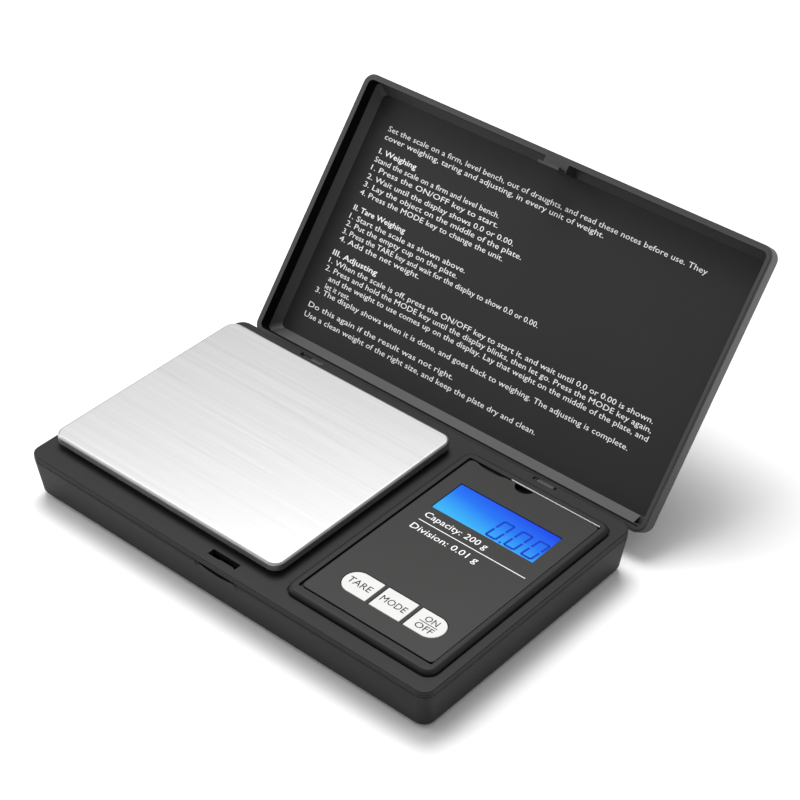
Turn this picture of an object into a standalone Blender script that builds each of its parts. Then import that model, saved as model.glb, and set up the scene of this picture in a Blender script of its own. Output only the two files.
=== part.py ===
"""Pocket gram scale with a hinged lid, as an assembly of separate pieces.

Frame while modelling: X to the right, Y to the back, Z up, with the table at z = 0 and the
case centred on x = y = 0. The whole tree hangs from one empty, which at the end is moved so
that the box around the open scale is centred over the origin. The lid is modelled closed,
about the hinge axis, and its empty then turns it open. Lengths are in metres.
"""

import math

import bmesh
import bpy
from mathutils import Matrix, Vector

MM = 0.001

# ---- Driving sizes ---------------------------------------------------------------------------
CASE_WIDTH = 127.0 * MM
CASE_DEPTH = 74.0 * MM
CASE_HEIGHT = 12.2 * MM  # underside of the case to the top of the deck
CORNER_RADIUS = 3.0 * MM
CASE_TAPER = 1.2 * MM  # how far each side wall leans in towards the underside
WALL = 1.5 * MM
DECK_THICKNESS = 1.55 * MM
PARTING_GAP = 0.25 * MM
GAP = 0.3 * MM  # between pieces that touch
FOOT_RADIUS = 4.0 * MM
FOOT_THICKNESS = 1.05 * MM
FOOT_PROUD = 0.6 * MM

LID_HEIGHT = 7.2 * MM
LID_DEPTH = 5.9 * MM  # rim to the flat inside
LID_WALL = 1.5 * MM
LID_CHAMFER = 2.1 * MM
LID_LEAN = 1.4 * MM  # how far each end wall leans in towards the lid's top
LID_OPEN_ANGLE = math.radians(128.7)

HINGE_RADIUS = 1.75 * MM
HINGE_BEHIND = 0.55 * MM  # axis behind the back wall
HINGE_BELOW = 3.5 * MM  # axis below the top of the deck
BARREL_X = (-34.3 * MM, 34.3 * MM)  # ends of the case's barrel
HINGE_EAR_WIDTH = 4.8 * MM
EAR_NOTCH_WIDTH = 7.2 * MM  # notch in the case's back edge for each ear
EAR_NOTCH_DEPTH = 1.5 * MM
HINGE_STEP = 0.3 * MM  # how far the deck drops over the barrel
HINGE_PIN_RADIUS = 0.75 * MM
HINGE_PIN_LENGTH = 8.0 * MM
RUNNING_CLEARANCE = 0.1 * MM

CELL_DIAMETER = 10.5 * MM  # AAA cell
CELL_LENGTH = 44.5 * MM
CELL_NUB_RADIUS = 1.9 * MM
CELL_NUB_LENGTH = 1.0 * MM
CELL_CLEARANCE = 0.25 * MM
BAY_WALL = 1.0 * MM
BAY_SPARE = 7.7 * MM  # bay length over the cell, for the contacts and springs
DOOR_THICKNESS = 1.0 * MM
DOOR_CLEARANCE = 0.2 * MM
HUMP_THICKNESS = 0.8 * MM

BEAM_LENGTH = 47.0 * MM
BEAM_WIDTH = 12.0 * MM
BEAM_HEIGHT = 6.0 * MM
PAN_TRAVEL = 0.4 * MM
PAN_THICKNESS = 0.6 * MM
PAN_SKIRT = 2.2 * MM
CARRIER_THICKNESS = 1.2 * MM

HOUSING_WIDTH = 43.6 * MM
HOUSING_RISE = 1.45 * MM  # top of the display housing above the deck
OVERLAY_THICKNESS = 0.5 * MM
WINDOW_WIDTH = 30.4 * MM
WINDOW_DEPTH = 11.2 * MM
KEY_WIDTH = 9.0 * MM
KEY_DEPTH = 7.2 * MM
KEY_SPACING = 10.1 * MM
KEY_TRAVEL = 0.35 * MM
BOARD_THICKNESS = 1.2 * MM

LATCH_TRAVEL = 0.4 * MM
LATCH_WIDTH = 12.9 * MM
LATCH_DIP = 1.0 * MM

SCREW_SHANK_RADIUS = 0.9 * MM
SCREW_HEAD_RADIUS = 1.8 * MM
SCREW_HEAD_HEIGHT = 1.2 * MM

# ---- Levels ----------------------------------------------------------------------------------
UNDERSIDE = FOOT_PROUD
FLOOR_TOP = UNDERSIDE + WALL
DECK_TOP = UNDERSIDE + CASE_HEIGHT
DECK_UNDER = DECK_TOP - DECK_THICKNESS
CASE_RIM = DECK_UNDER - PARTING_GAP
LID_RIM = DECK_TOP + GAP
LID_TOP = LID_RIM + LID_HEIGHT
HINGE_Z = DECK_TOP - HINGE_BELOW

CELL_RADIUS = CELL_DIAMETER / 2
CELL_Z = UNDERSIDE + DOOR_THICKNESS + GAP + CELL_RADIUS
HUMP_UNDER = CELL_Z + CELL_RADIUS + DOOR_CLEARANCE
HUMP_TOP = HUMP_UNDER + HUMP_THICKNESS
CARRIER_BOTTOM = HUMP_TOP + PAN_TRAVEL + 0.45 * MM
CARRIER_TOP = CARRIER_BOTTOM + CARRIER_THICKNESS
PAN_TOP = CARRIER_TOP + CELL_CLEARANCE + PAN_THICKNESS
PAN_BOTTOM = PAN_TOP - PAN_SKIRT
BEAM_BOTTOM = FLOOR_TOP + 1.0 * MM
BEAM_TOP = BEAM_BOTTOM + BEAM_HEIGHT

HOUSING_RECESS = 0.5 * MM  # how deep the display housing sits in the deck
HOUSING_TOP = DECK_TOP + HOUSING_RISE
HOUSING_BOTTOM = DECK_TOP - HOUSING_RECESS + GAP
HOUSING_LEDGE = HOUSING_TOP - 0.8 * MM
OVERLAY_BOTTOM = HOUSING_LEDGE + 0.15 * MM
OVERLAY_TOP = OVERLAY_BOTTOM + OVERLAY_THICKNESS
BOARD_BOTTOM = UNDERSIDE + 5.0 * MM
BOARD_TOP = BOARD_BOTTOM + BOARD_THICKNESS

# ---- Layout in plan --------------------------------------------------------------------------
LEFT, RIGHT = -CASE_WIDTH / 2, CASE_WIDTH / 2
FRONT, BACK = -CASE_DEPTH / 2, CASE_DEPTH / 2
HINGE_Y = BACK + HINGE_BEHIND

HOUSING_X = (RIGHT - 2.7 * MM - HOUSING_WIDTH, RIGHT - 2.7 * MM)
HOUSING_Y = (FRONT + 4.25 * MM, BACK - 4.05 * MM)
RECESS_X = (HOUSING_X[0] + 2.2 * MM, HOUSING_X[1] - 1.9 * MM)
RECESS_Y = (HOUSING_Y[0] + 2.7 * MM, HOUSING_Y[1] - 2.4 * MM)
OVERLAY_X = (RECESS_X[0] + 0.5 * MM, RECESS_X[1] - 0.25 * MM)
OVERLAY_Y = (RECESS_Y[0] + 0.6 * MM, RECESS_Y[1] - 0.25 * MM)
PAN_X = (LEFT + 2.1 * MM, HOUSING_X[0] - 3.8 * MM)
PAN_Y = (FRONT + 6.25 * MM, BACK - 5.25 * MM)

DISPLAY_X = (OVERLAY_X[0] + OVERLAY_X[1]) / 2
DISPLAY_Y = RECESS_Y[1] - 14.4 * MM
KEYS_X = DISPLAY_X + 0.7 * MM
KEYS_Y = RECESS_Y[0] + 9.35 * MM
KEY_NAMES = ("tare", "mode", "power")

BAY_X = (LEFT + 12.9 * MM, LEFT + 12.9 * MM + CELL_LENGTH + BAY_SPARE)
CELL_Y = (
    FRONT + 7.7 * MM + CELL_RADIUS,
    FRONT + 7.7 * MM + CELL_RADIUS + CELL_DIAMETER + 0.4 * MM,
)
BAY_Y = (CELL_Y[0] - CELL_RADIUS - CELL_CLEARANCE, CELL_Y[1] + CELL_RADIUS + CELL_CLEARANCE)
DOOR_AXIS_Y = BAY_Y[1] - DOOR_CLEARANCE

BEAM_X = (LEFT + 16.0 * MM, LEFT + 16.0 * MM + BEAM_LENGTH)
BEAM_Y = BAY_Y[1] + BAY_WALL + 1.15 * MM + BEAM_WIDTH / 2
BEAM_FIXED_HOLES = (BEAM_X[0] + 3.0 * MM, BEAM_X[0] + 8.5 * MM)
BEAM_FREE_HOLES = (BEAM_X[1] - 8.5 * MM, BEAM_X[1] - 3.0 * MM)
CARRIER_BOSS = 10.4 * MM

SCREW_X, SCREW_Y = RIGHT - 5.5 * MM, BACK - 5.75 * MM
FOOT_X, FOOT_Y = RIGHT - 7.6 * MM, BACK - 14.75 * MM
CORNERS = {
    "front_left": (-1, -1),
    "front_right": (1, -1),
    "back_left": (-1, 1),
    "back_right": (1, 1),
}

HOOK_X = (-3.8 * MM, 3.4 * MM)
HOOK_Y = (FRONT + 3.15 * MM, FRONT + 3.75 * MM)
BARB_TIP_Y = FRONT + 2.9 * MM
SLOT_X = (-4.6 * MM, 4.1 * MM)
SLOT_Y = (FRONT + 2.25 * MM, FRONT + 4.25 * MM)
LEDGE_X = (-1.1 * MM, 3.3 * MM)
LEDGE_Y = FRONT + 2.75 * MM


# ---- Scene and small helpers -----------------------------------------------------------------
def clear_scene():
    for obj in list(bpy.data.objects):
        bpy.data.objects.remove(obj, do_unlink=True)


clear_scene()
PARTS = bpy.data.collections.new("pocket_gram_scale")
TOOLS = bpy.data.collections.new("cutters")
bpy.context.scene.collection.children.link(PARTS)
bpy.context.scene.collection.children.link(TOOLS)


def empty(name, location, parent=None):
    axis = bpy.data.objects.new(name, None)
    axis.empty_display_size = 5 * MM
    axis.location = location
    axis.parent = parent
    PARTS.objects.link(axis)
    return axis


ROOT = empty("scale_root", (0, 0, 0))
PAN_AXIS = empty("pan_slide_axis", (0, 0, 0), ROOT)
LID_AXIS = empty("lid_hinge_axis", (0, HINGE_Y, HINGE_Z), ROOT)
DOOR_AXIS = empty("battery_door_axis", (0, DOOR_AXIS_Y, UNDERSIDE), ROOT)


def material(name, colour, roughness, metallic=0.0, alpha=1.0):
    made = bpy.data.materials.new(name)
    made.use_nodes = True
    shader = made.node_tree.nodes["Principled BSDF"]
    shader.inputs["Base Color"].default_value = (*colour, 1.0)
    shader.inputs["Roughness"].default_value = roughness
    shader.inputs["Metallic"].default_value = metallic
    shader.inputs["Alpha"].default_value = alpha
    return made


def finish(obj, mat, parent=ROOT):
    """Makes the object one of the scale's pieces."""
    obj.parent = parent
    if parent is not ROOT:
        obj.location = Vector(obj.location) - Vector(parent.location)
    obj.data.materials.clear()
    obj.data.materials.append(mat)
    obj.data.shade_smooth()
    obj.data.set_sharp_from_angle(angle=math.radians(35))
    return obj


def new_object(name, mesh, location=(0, 0, 0)):
    obj = bpy.data.objects.new(name, mesh)
    obj.location = location
    PARTS.objects.link(obj)
    return obj


def mesh_object(name, bm, location=(0, 0, 0)):
    bmesh.ops.recalc_face_normals(bm, faces=bm.faces)
    mesh = bpy.data.meshes.new(name)
    bm.to_mesh(mesh)
    bm.free()
    return new_object(name, mesh, location)


def upright_edges(bm):
    return [e for e in bm.edges if abs(e.verts[0].co.z - e.verts[1].co.z) > 1e-6]


def level_edges(bm, z):
    return [e for e in bm.edges if all(abs(v.co.z - z) < 1e-6 for v in e.verts)]


def bevel(bm, edges, radius, segments):
    bmesh.ops.bevel(
        bm, geom=edges, offset=radius, segments=segments, profile=0.5, affect="EDGES"
    )


def slab(name, x, y, z, corner=0.0, top=0.0, bottom=0.0, taper=0.0, segments=3):
    """A block between two corners, with round upright corners and round top or bottom edges.

    taper is how far each side leans in towards the bottom.
    """
    size = Vector((x[1] - x[0], y[1] - y[0], z[1] - z[0]))
    centre = Vector((x[0] + x[1], y[0] + y[1], z[0] + z[1])) / 2
    bm = bmesh.new()
    bmesh.ops.create_cube(bm, size=1.0, matrix=Matrix.Diagonal((*size, 1.0)))
    for vert in bm.verts:
        if vert.co.z < 0:
            vert.co.x -= math.copysign(taper, vert.co.x)
            vert.co.y -= math.copysign(taper, vert.co.y)
    if corner:
        bevel(bm, upright_edges(bm), corner, segments)
    if top:
        bevel(bm, level_edges(bm, size.z / 2), top, segments)
    if bottom:
        bevel(bm, level_edges(bm, -size.z / 2), bottom, segments)
    return mesh_object(name, bm, centre)


def rod(name, start, end, radius, end_radius=None, sides=20):
    """A cylinder or a cone frustum from one point to another."""
    start, end = Vector(start), Vector(end)
    along = end - start
    bm = bmesh.new()
    bmesh.ops.create_cone(
        bm,
        cap_ends=True,
        segments=sides,
        radius1=radius,
        radius2=radius if end_radius is None else end_radius,
        depth=along.length,
        matrix=Vector((0, 0, 1)).rotation_difference(along).to_matrix().to_4x4(),
    )
    return mesh_object(name, bm, (start + end) / 2)


def evaluated_mesh(obj):
    graph = bpy.context.evaluated_depsgraph_get()
    return bpy.data.meshes.new_from_object(obj.evaluated_get(graph))


def mesh_from_curve(curve_obj):
    """Replaces a curve object by the same shape as a closed mesh."""
    name = curve_obj.name
    bpy.context.view_layer.update()
    mesh = evaluated_mesh(curve_obj)
    bm = bmesh.new()
    bm.from_mesh(mesh)
    bmesh.ops.remove_doubles(bm, verts=bm.verts, dist=1e-6)
    bm.to_mesh(mesh)
    bm.free()
    matrix = curve_obj.matrix_world.copy()
    bpy.data.objects.remove(curve_obj, do_unlink=True)
    obj = new_object(name, mesh)
    obj.matrix_world = matrix
    return obj


def plate(name, outline, thickness, location, turn=(0, 0, 0)):
    """A flat outline, given in its own plane, as a mesh plate centred on that plane."""
    curve = bpy.data.curves.new(name, "CURVE")
    curve.dimensions = "2D"
    curve.fill_mode = "BOTH"
    curve.extrude = thickness / 2
    spline = curve.splines.new("POLY")
    spline.points.add(len(outline) - 1)
    for point, (u, v) in zip(spline.points, outline):
        point.co = (u, v, 0.0, 1.0)
    spline.use_cyclic_u = True
    obj = new_object(name, curve, location)
    obj.rotation_euler = turn
    return mesh_from_curve(obj)


def arc(centre, radius, start, end, steps):
    """Points of an arc, angles in degrees."""
    points = []
    for i in range(steps + 1):
        angle = math.radians(start + (end - start) * i / steps)
        points.append((centre[0] + radius * math.cos(angle), centre[1] + radius * math.sin(angle)))
    return points


def smooth_route(points, step):
    """Points about one step apart on a Catmull-Rom curve through the given points."""
    ends = [2 * Vector(points[0]) - Vector(points[1])]
    ends += [Vector(p) for p in points]
    ends += [2 * Vector(points[-1]) - Vector(points[-2])]
    route = []
    for a, b, c, d in zip(ends, ends[1:], ends[2:], ends[3:]):
        count = max(2, round((c - b).length / step))
        for i in range(count):
            t = i / count
            route.append(
                0.5
                * (
                    2 * b
                    + (c - a) * t
                    + (2 * a - 5 * b + 4 * c - d) * t**2
                    + (3 * b - a - 3 * c + d) * t**3
                )
            )
    route.append(ends[-2])
    return route


def wire(name, points, radius, mat, sides_level=1):
    """A round wire through the given points."""
    curve = bpy.data.curves.new(name, "CURVE")
    curve.dimensions = "3D"
    curve.bevel_depth = radius
    curve.bevel_resolution = sides_level
    curve.use_fill_caps = True
    spline = curve.splines.new("POLY")
    spline.points.add(len(points) - 1)
    for point, co in zip(spline.points, points):
        point.co = (*co, 1.0)
    curve.materials.append(mat)
    obj = new_object(name, curve)
    obj.parent = ROOT
    return obj


def as_tool(obj, parent=ROOT):
    """Turns an object into a hidden cutter or an addition for a Boolean."""
    PARTS.objects.unlink(obj)
    TOOLS.objects.link(obj)
    obj.hide_render = True
    obj.display_type = "WIRE"
    obj.parent = parent
    if parent is not ROOT:
        obj.location = Vector(obj.location) - Vector(parent.location)
    return obj


def boolean(target, tool, operation, parent):
    as_tool(tool, parent)
    modifier = target.modifiers.new(operation.lower() + "_" + tool.name, "BOOLEAN")
    modifier.operation = operation
    modifier.object = tool


def cut(target, *tools, parent=ROOT):
    for tool in tools:
        boolean(target, tool, "DIFFERENCE", parent)


def join(target, *tools, parent=ROOT):
    for tool in tools:
        boolean(target, tool, "UNION", parent)


def grown(span, by):
    return (span[0] - by, span[1] + by)


def around(centre, size):
    return (centre - size / 2, centre + size / 2)


# ---- Materials -------------------------------------------------------------------------------
CASE_BLACK = material("case_black", (0.030, 0.030, 0.031), 0.48)
DECK_BLACK = material("deck_black", (0.036, 0.036, 0.037), 0.50)
OVERLAY_GREY = material("overlay_grey", (0.045, 0.045, 0.043), 0.42)
KEY_WHITE = material("key_white", (0.83, 0.83, 0.82), 0.40)
PAN_STEEL = material("pan_steel", (0.74, 0.74, 0.74), 0.30, 1.0)
PIN_STEEL = material("pin_steel", (0.55, 0.56, 0.57), 0.28, 1.0)
SPRING_STEEL = material("spring_steel", (0.62, 0.61, 0.58), 0.25, 1.0)
BEAM_ALUMINIUM = material("beam_aluminium", (0.77, 0.78, 0.79), 0.34, 1.0)
POTTING_WHITE = material("potting_white", (0.86, 0.85, 0.80), 0.55)
BOARD_GREEN = material("board_green", (0.02, 0.13, 0.05), 0.38)
CHIP_BLACK = material("chip_black", (0.012, 0.012, 0.012), 0.25)
LCD_BLUE = material("lcd_blue", (0.03, 0.22, 0.85), 0.12)
GLASS_CLEAR = material("glass_clear", (0.80, 0.88, 0.92), 0.05, alpha=0.35)
LIGHT_GUIDE = material("light_guide", (0.45, 0.65, 0.92), 0.30)
RUBBER_BLACK = material("rubber_black", (0.018, 0.018, 0.018), 0.80)
RUBBER_PINK = material("rubber_pink", (0.55, 0.30, 0.30), 0.70)
CELL_WRAP = material("cell_wrap", (0.05, 0.16, 0.34), 0.30)
WIRE_RED = material("wire_red", (0.55, 0.02, 0.02), 0.45)
WIRE_BLACK = material("wire_black", (0.02, 0.02, 0.02), 0.45)
WIRE_GREY = material("wire_grey", (0.35, 0.35, 0.36), 0.50)


# ---- Case ------------------------------------------------------------------------------------
def latch_dip(name, y, shrink=0.0):
    """The crescent under the deck's front edge, as a plate that stands in the front wall."""
    half = LATCH_WIDTH / 2
    radius = (half**2 + LATCH_DIP**2) / (2 * LATCH_DIP)
    centre_z = radius - LATCH_DIP
    reach = math.degrees(math.acos((centre_z + shrink) / (radius - shrink)))
    points = arc((0, centre_z), radius - shrink, -90 - reach, -90 + reach, 14)
    if not shrink:
        points = [(-half, 2 * MM)] + points + [(half, 2 * MM)]
    location = (0, (y[0] + y[1]) / 2, CASE_RIM)
    return plate(name, points, y[1] - y[0], location, (math.radians(90), 0, 0))


def ear_notch(end, bottom):
    """The opening in the back edge that one of the lid's hinge ears turns in."""
    inner = BARREL_X[(end + 1) // 2]
    return slab(
        f"ear_notch_{end + 1}",
        sorted((inner, inner + end * EAR_NOTCH_WIDTH)),
        (BACK - EAR_NOTCH_DEPTH, HINGE_Y + 2 * HINGE_RADIUS),
        (bottom, DECK_TOP + 1 * MM),
    )


def make_lower_case():
    case = slab(
        "lower_case",
        (LEFT, RIGHT),
        (FRONT, BACK),
        (UNDERSIDE, CASE_RIM),
        corner=CORNER_RADIUS,
        bottom=1.4 * MM,
        taper=CASE_TAPER,
        segments=4,
    )
    cut(
        case,
        slab(
            "case_cavity",
            (LEFT + WALL - CASE_TAPER, RIGHT - WALL + CASE_TAPER),
            (FRONT + WALL - CASE_TAPER, BACK - WALL + CASE_TAPER),
            (FLOOR_TOP, 2 * CASE_RIM - FLOOR_TOP),
            corner=CORNER_RADIUS - WALL,
            bottom=0.6 * MM,
            taper=2 * CASE_TAPER,
        ),
    )
    join(
        case,
        slab(
            "bay_walls",
            grown(BAY_X, BAY_WALL),
            grown(BAY_Y, BAY_WALL),
            (UNDERSIDE + 0.3 * MM, CELL_Z + 2.3 * MM),
            corner=0.8 * MM,
            segments=2,
        ),
        slab(
            "beam_pedestal",
            (BEAM_X[0] - 0.5 * MM, BEAM_FIXED_HOLES[1] + 3.0 * MM),
            around(BEAM_Y, BEAM_WIDTH + 0.2 * MM),
            (UNDERSIDE + 0.3 * MM, BEAM_BOTTOM - GAP),
        ),
        rod(
            "stop_boss",
            (BEAM_FREE_HOLES[0], BEAM_Y, UNDERSIDE + 0.3 * MM),
            (BEAM_FREE_HOLES[0], BEAM_Y, FLOOR_TOP + 0.4 * MM),
            3.0 * MM,
        ),
        rod(
            "hinge_barrel",
            (BARREL_X[0], HINGE_Y, HINGE_Z),
            (BARREL_X[1], HINGE_Y, HINGE_Z),
            HINGE_RADIUS,
            sides=24,
        ),
        slab(
            "hinge_backing",
            grown(BARREL_X, EAR_NOTCH_WIDTH + 1.4 * MM),
            (BACK - EAR_NOTCH_DEPTH - 1.3 * MM, BACK - 1.2 * MM),
            (HINGE_Z - 4.0 * MM, CASE_RIM - 0.3 * MM),
        ),
    )
    for side, (sx, sy) in CORNERS.items():
        join(
            case,
            rod(
                "case_boss_" + side,
                (sx * SCREW_X, sy * SCREW_Y, UNDERSIDE + 0.3 * MM),
                (sx * SCREW_X, sy * SCREW_Y, UNDERSIDE + 6.2 * MM),
                3.3 * MM,
            ),
        )
    for post, (x, y) in enumerate(board_corners()):
        join(
            case,
            rod(
                f"board_post_{post}",
                (x, y, UNDERSIDE + 0.3 * MM),
                (x, y, BOARD_BOTTOM - GAP),
                1.7 * MM,
                sides=12,
            ),
        )
    cut(
        case,
        slab("bay_opening", BAY_X, BAY_Y, (-1 * MM, DECK_TOP)),
        slab(
            "bay_wire_gap",
            (BAY_X[0] - 2 * BAY_WALL, BAY_X[0] + 0.5 * MM),
            (CELL_Y[0] - 3.0 * MM, CELL_Y[1] + 3.0 * MM),
            (CELL_Z + 0.4 * MM, DECK_TOP),
        ),
        latch_dip("latch_opening", (FRONT - 1 * MM, FRONT + WALL + 1 * MM)),
    )
    for side, (sx, sy) in CORNERS.items():
        x, y = sx * SCREW_X, sy * SCREW_Y
        cut(
            case,
            rod(
                "counterbore_" + side,
                (x, y, 0),
                (x, y, UNDERSIDE + 3.4 * MM),
                SCREW_HEAD_RADIUS + 0.4 * MM,
            ),
            rod("screw_hole_" + side, (x, y, 0), (x, y, CASE_RIM), 1.2 * MM, sides=16),
            rod(
                "foot_pocket_" + side,
                (sx * FOOT_X, sy * FOOT_Y, 0),
                (sx * FOOT_X, sy * FOOT_Y, FOOT_THICKNESS + 0.15 * MM),
                FOOT_RADIUS + GAP,
                sides=28,
            ),
        )
    for end, barrel_end in zip((-1, 1), BARREL_X):
        cut(
            case,
            ear_notch(end, HINGE_Z - HINGE_RADIUS - 1.0 * MM),
            rod(
                f"pin_bore_{end + 1}",
                (barrel_end + end * 1 * MM, HINGE_Y, HINGE_Z),
                (barrel_end - end * (HINGE_PIN_LENGTH / 2 + GAP), HINGE_Y, HINGE_Z),
                HINGE_PIN_RADIUS + RUNNING_CLEARANCE,
                sides=24,
            ),
            slab(
                f"latch_slit_{end + 1}",
                around(end * LATCH_WIDTH / 2, 0.35 * MM),
                (FRONT - 1 * MM, FRONT + 0.8 * MM),
                (CASE_RIM - 1.5 * MM, DECK_TOP),
            ),
            slab(
                f"door_tab_slot_{end + 1}",
                around(door_tab_x(end), 5.0 * MM),
                (BAY_Y[1] - 1 * MM, BAY_Y[1] + BAY_WALL + 0.5 * MM),
                (FLOOR_TOP, FLOOR_TOP + 1.9 * MM),
            ),
        )
    for x in BEAM_FIXED_HOLES:
        cut(
            case,
            rod(
                "pedestal_hole",
                (x, BEAM_Y, UNDERSIDE + 0.6 * MM),
                (x, BEAM_Y, BEAM_TOP),
                SCREW_SHANK_RADIUS + 0.15 * MM,
                sides=12,
            ),
        )
    cut(
        case,
        rod(
            "stop_hole",
            (BEAM_FREE_HOLES[0], BEAM_Y, UNDERSIDE + 0.6 * MM),
            (BEAM_FREE_HOLES[0], BEAM_Y, BEAM_TOP),
            1.5 * MM,
            sides=16,
        ),
    )
    return finish(case, CASE_BLACK)


def board_span():
    x = around(DISPLAY_X, WINDOW_WIDTH + 5.6 * MM)
    y = (HOUSING_Y[0] + 6.0 * MM, HOUSING_Y[1] - 7.2 * MM)
    return x, y


def board_corners():
    x, y = board_span()
    inset = 2.6 * MM
    return [
        (post_x, post_y)
        for post_x in grown(x, -inset)
        for post_y in grown(y, -inset)
    ]


def door_tab_x(end):
    return (BAY_X[0] + BAY_X[1]) / 2 + end * 15.0 * MM


def make_upper_deck():
    deck = slab(
        "upper_deck",
        (LEFT, RIGHT),
        (FRONT, BACK),
        (DECK_UNDER, DECK_TOP),
        corner=CORNER_RADIUS,
        top=0.35 * MM,
        segments=4,
    )
    lip_inset = WALL + 0.6 * MM
    lip_wall = 1.0 * MM
    lip = slab(
        "deck_lip",
        (LEFT + lip_inset, RIGHT - lip_inset),
        (FRONT + lip_inset, BACK - lip_inset),
        (DECK_UNDER - 1.9 * MM, DECK_UNDER + 0.5 * MM),
        corner=1.0 * MM,
        segments=2,
    )
    cut(
        lip,
        slab(
            "lip_inside",
            (LEFT + lip_inset + lip_wall, RIGHT - lip_inset - lip_wall),
            (FRONT + lip_inset + lip_wall, BACK - lip_inset - lip_wall),
            (DECK_UNDER - 3 * MM, DECK_UNDER + 0.2 * MM),
        ),
        slab(
            "lip_latch_gap",
            (-14 * MM, 14 * MM),
            (FRONT, FRONT + 6 * MM),
            (DECK_UNDER - 3 * MM, DECK_UNDER + 0.2 * MM),
        ),
        slab(
            "lip_hinge_gap",
            grown(BARREL_X, EAR_NOTCH_WIDTH + 2.0 * MM),
            (BACK - 6 * MM, BACK),
            (DECK_UNDER - 3 * MM, DECK_UNDER + 0.2 * MM),
        ),
    )
    join(
        deck,
        lip,
        slab(
            "cell_hump",
            grown(BAY_X, 0.9 * MM),
            grown(BAY_Y, 0.5 * MM),
            (DECK_UNDER + 0.5 * MM, HUMP_TOP),
            corner=1.0 * MM,
            top=0.3 * MM,
            segments=2,
        ),
    )
    for side, (sx, sy) in CORNERS.items():
        x, y = sx * SCREW_X, sy * SCREW_Y
        join(
            deck,
            rod(
                "deck_boss_" + side,
                (x, y, UNDERSIDE + 6.5 * MM),
                (x, y, DECK_UNDER + 0.5 * MM),
                2.5 * MM,
                sides=16,
            ),
        )
    board_x, board_y = board_span()
    cut(
        deck,
        slab(
            "cell_hollow",
            grown(BAY_X, 0.1 * MM),
            grown(BAY_Y, -0.3 * MM),
            (DECK_UNDER - 3 * MM, HUMP_UNDER),
        ),
        slab(
            "housing_recess",
            grown(HOUSING_X, GAP),
            grown(HOUSING_Y, GAP),
            (DECK_TOP - HOUSING_RECESS, DECK_TOP + 1 * MM),
            corner=CORNER_RADIUS + GAP,
            segments=4,
        ),
        slab(
            "board_opening",
            grown(board_x, 1.2 * MM),
            grown(board_y, 0.5 * MM),
            (DECK_UNDER - 3 * MM, DECK_TOP + 1 * MM),
            corner=2.0 * MM,
        ),
        slab(
            "carrier_opening",
            around(sum(BEAM_FREE_HOLES) / 2, CARRIER_BOSS + 2.0 * MM),
            around(BEAM_Y, CARRIER_BOSS + 2.0 * MM),
            (DECK_UNDER - 3 * MM, HUMP_TOP + 1 * MM),
            corner=1.5 * MM,
        ),
        slab("latch_slot", SLOT_X, SLOT_Y, (DECK_UNDER - 1 * MM, DECK_TOP + 1 * MM)),
        ear_notch(-1, DECK_UNDER - 1 * MM),
        ear_notch(1, DECK_UNDER - 1 * MM),
        slab(
            "hinge_step",
            grown(BARREL_X, 1.0 * MM),
            (BACK - 1.1 * MM, BACK + 1 * MM),
            (DECK_TOP - HINGE_STEP, DECK_TOP + 1 * MM),
        ),
    )
    join(
        deck,
        slab(
            "latch_ledge",
            LEDGE_X,
            (SLOT_Y[0] - 0.5 * MM, LEDGE_Y),
            (DECK_UNDER + 0.05 * MM, DECK_TOP - 0.15 * MM),
        ),
    )
    for side, (sx, sy) in CORNERS.items():
        x, y = sx * SCREW_X, sy * SCREW_Y
        cut(
            deck,
            rod(
                "pilot_hole_" + side,
                (x, y, UNDERSIDE + 5 * MM),
                (x, y, DECK_UNDER + 0.3 * MM),
                SCREW_SHANK_RADIUS + 0.1 * MM,
                sides=12,
            ),
        )
    return finish(deck, DECK_BLACK)


def make_feet_and_screws():
    for side, (sx, sy) in CORNERS.items():
        x, y = sx * FOOT_X, sy * FOOT_Y
        foot = rod("foot_" + side, (x, y, 0), (x, y, FOOT_THICKNESS), FOOT_RADIUS, sides=28)
        finish(foot, RUBBER_BLACK)
        screw(
            "case_screw_" + side,
            (sx * SCREW_X, sy * SCREW_Y, UNDERSIDE + 3.1 * MM),
            6.6 * MM,
            up=True,
        )


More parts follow.
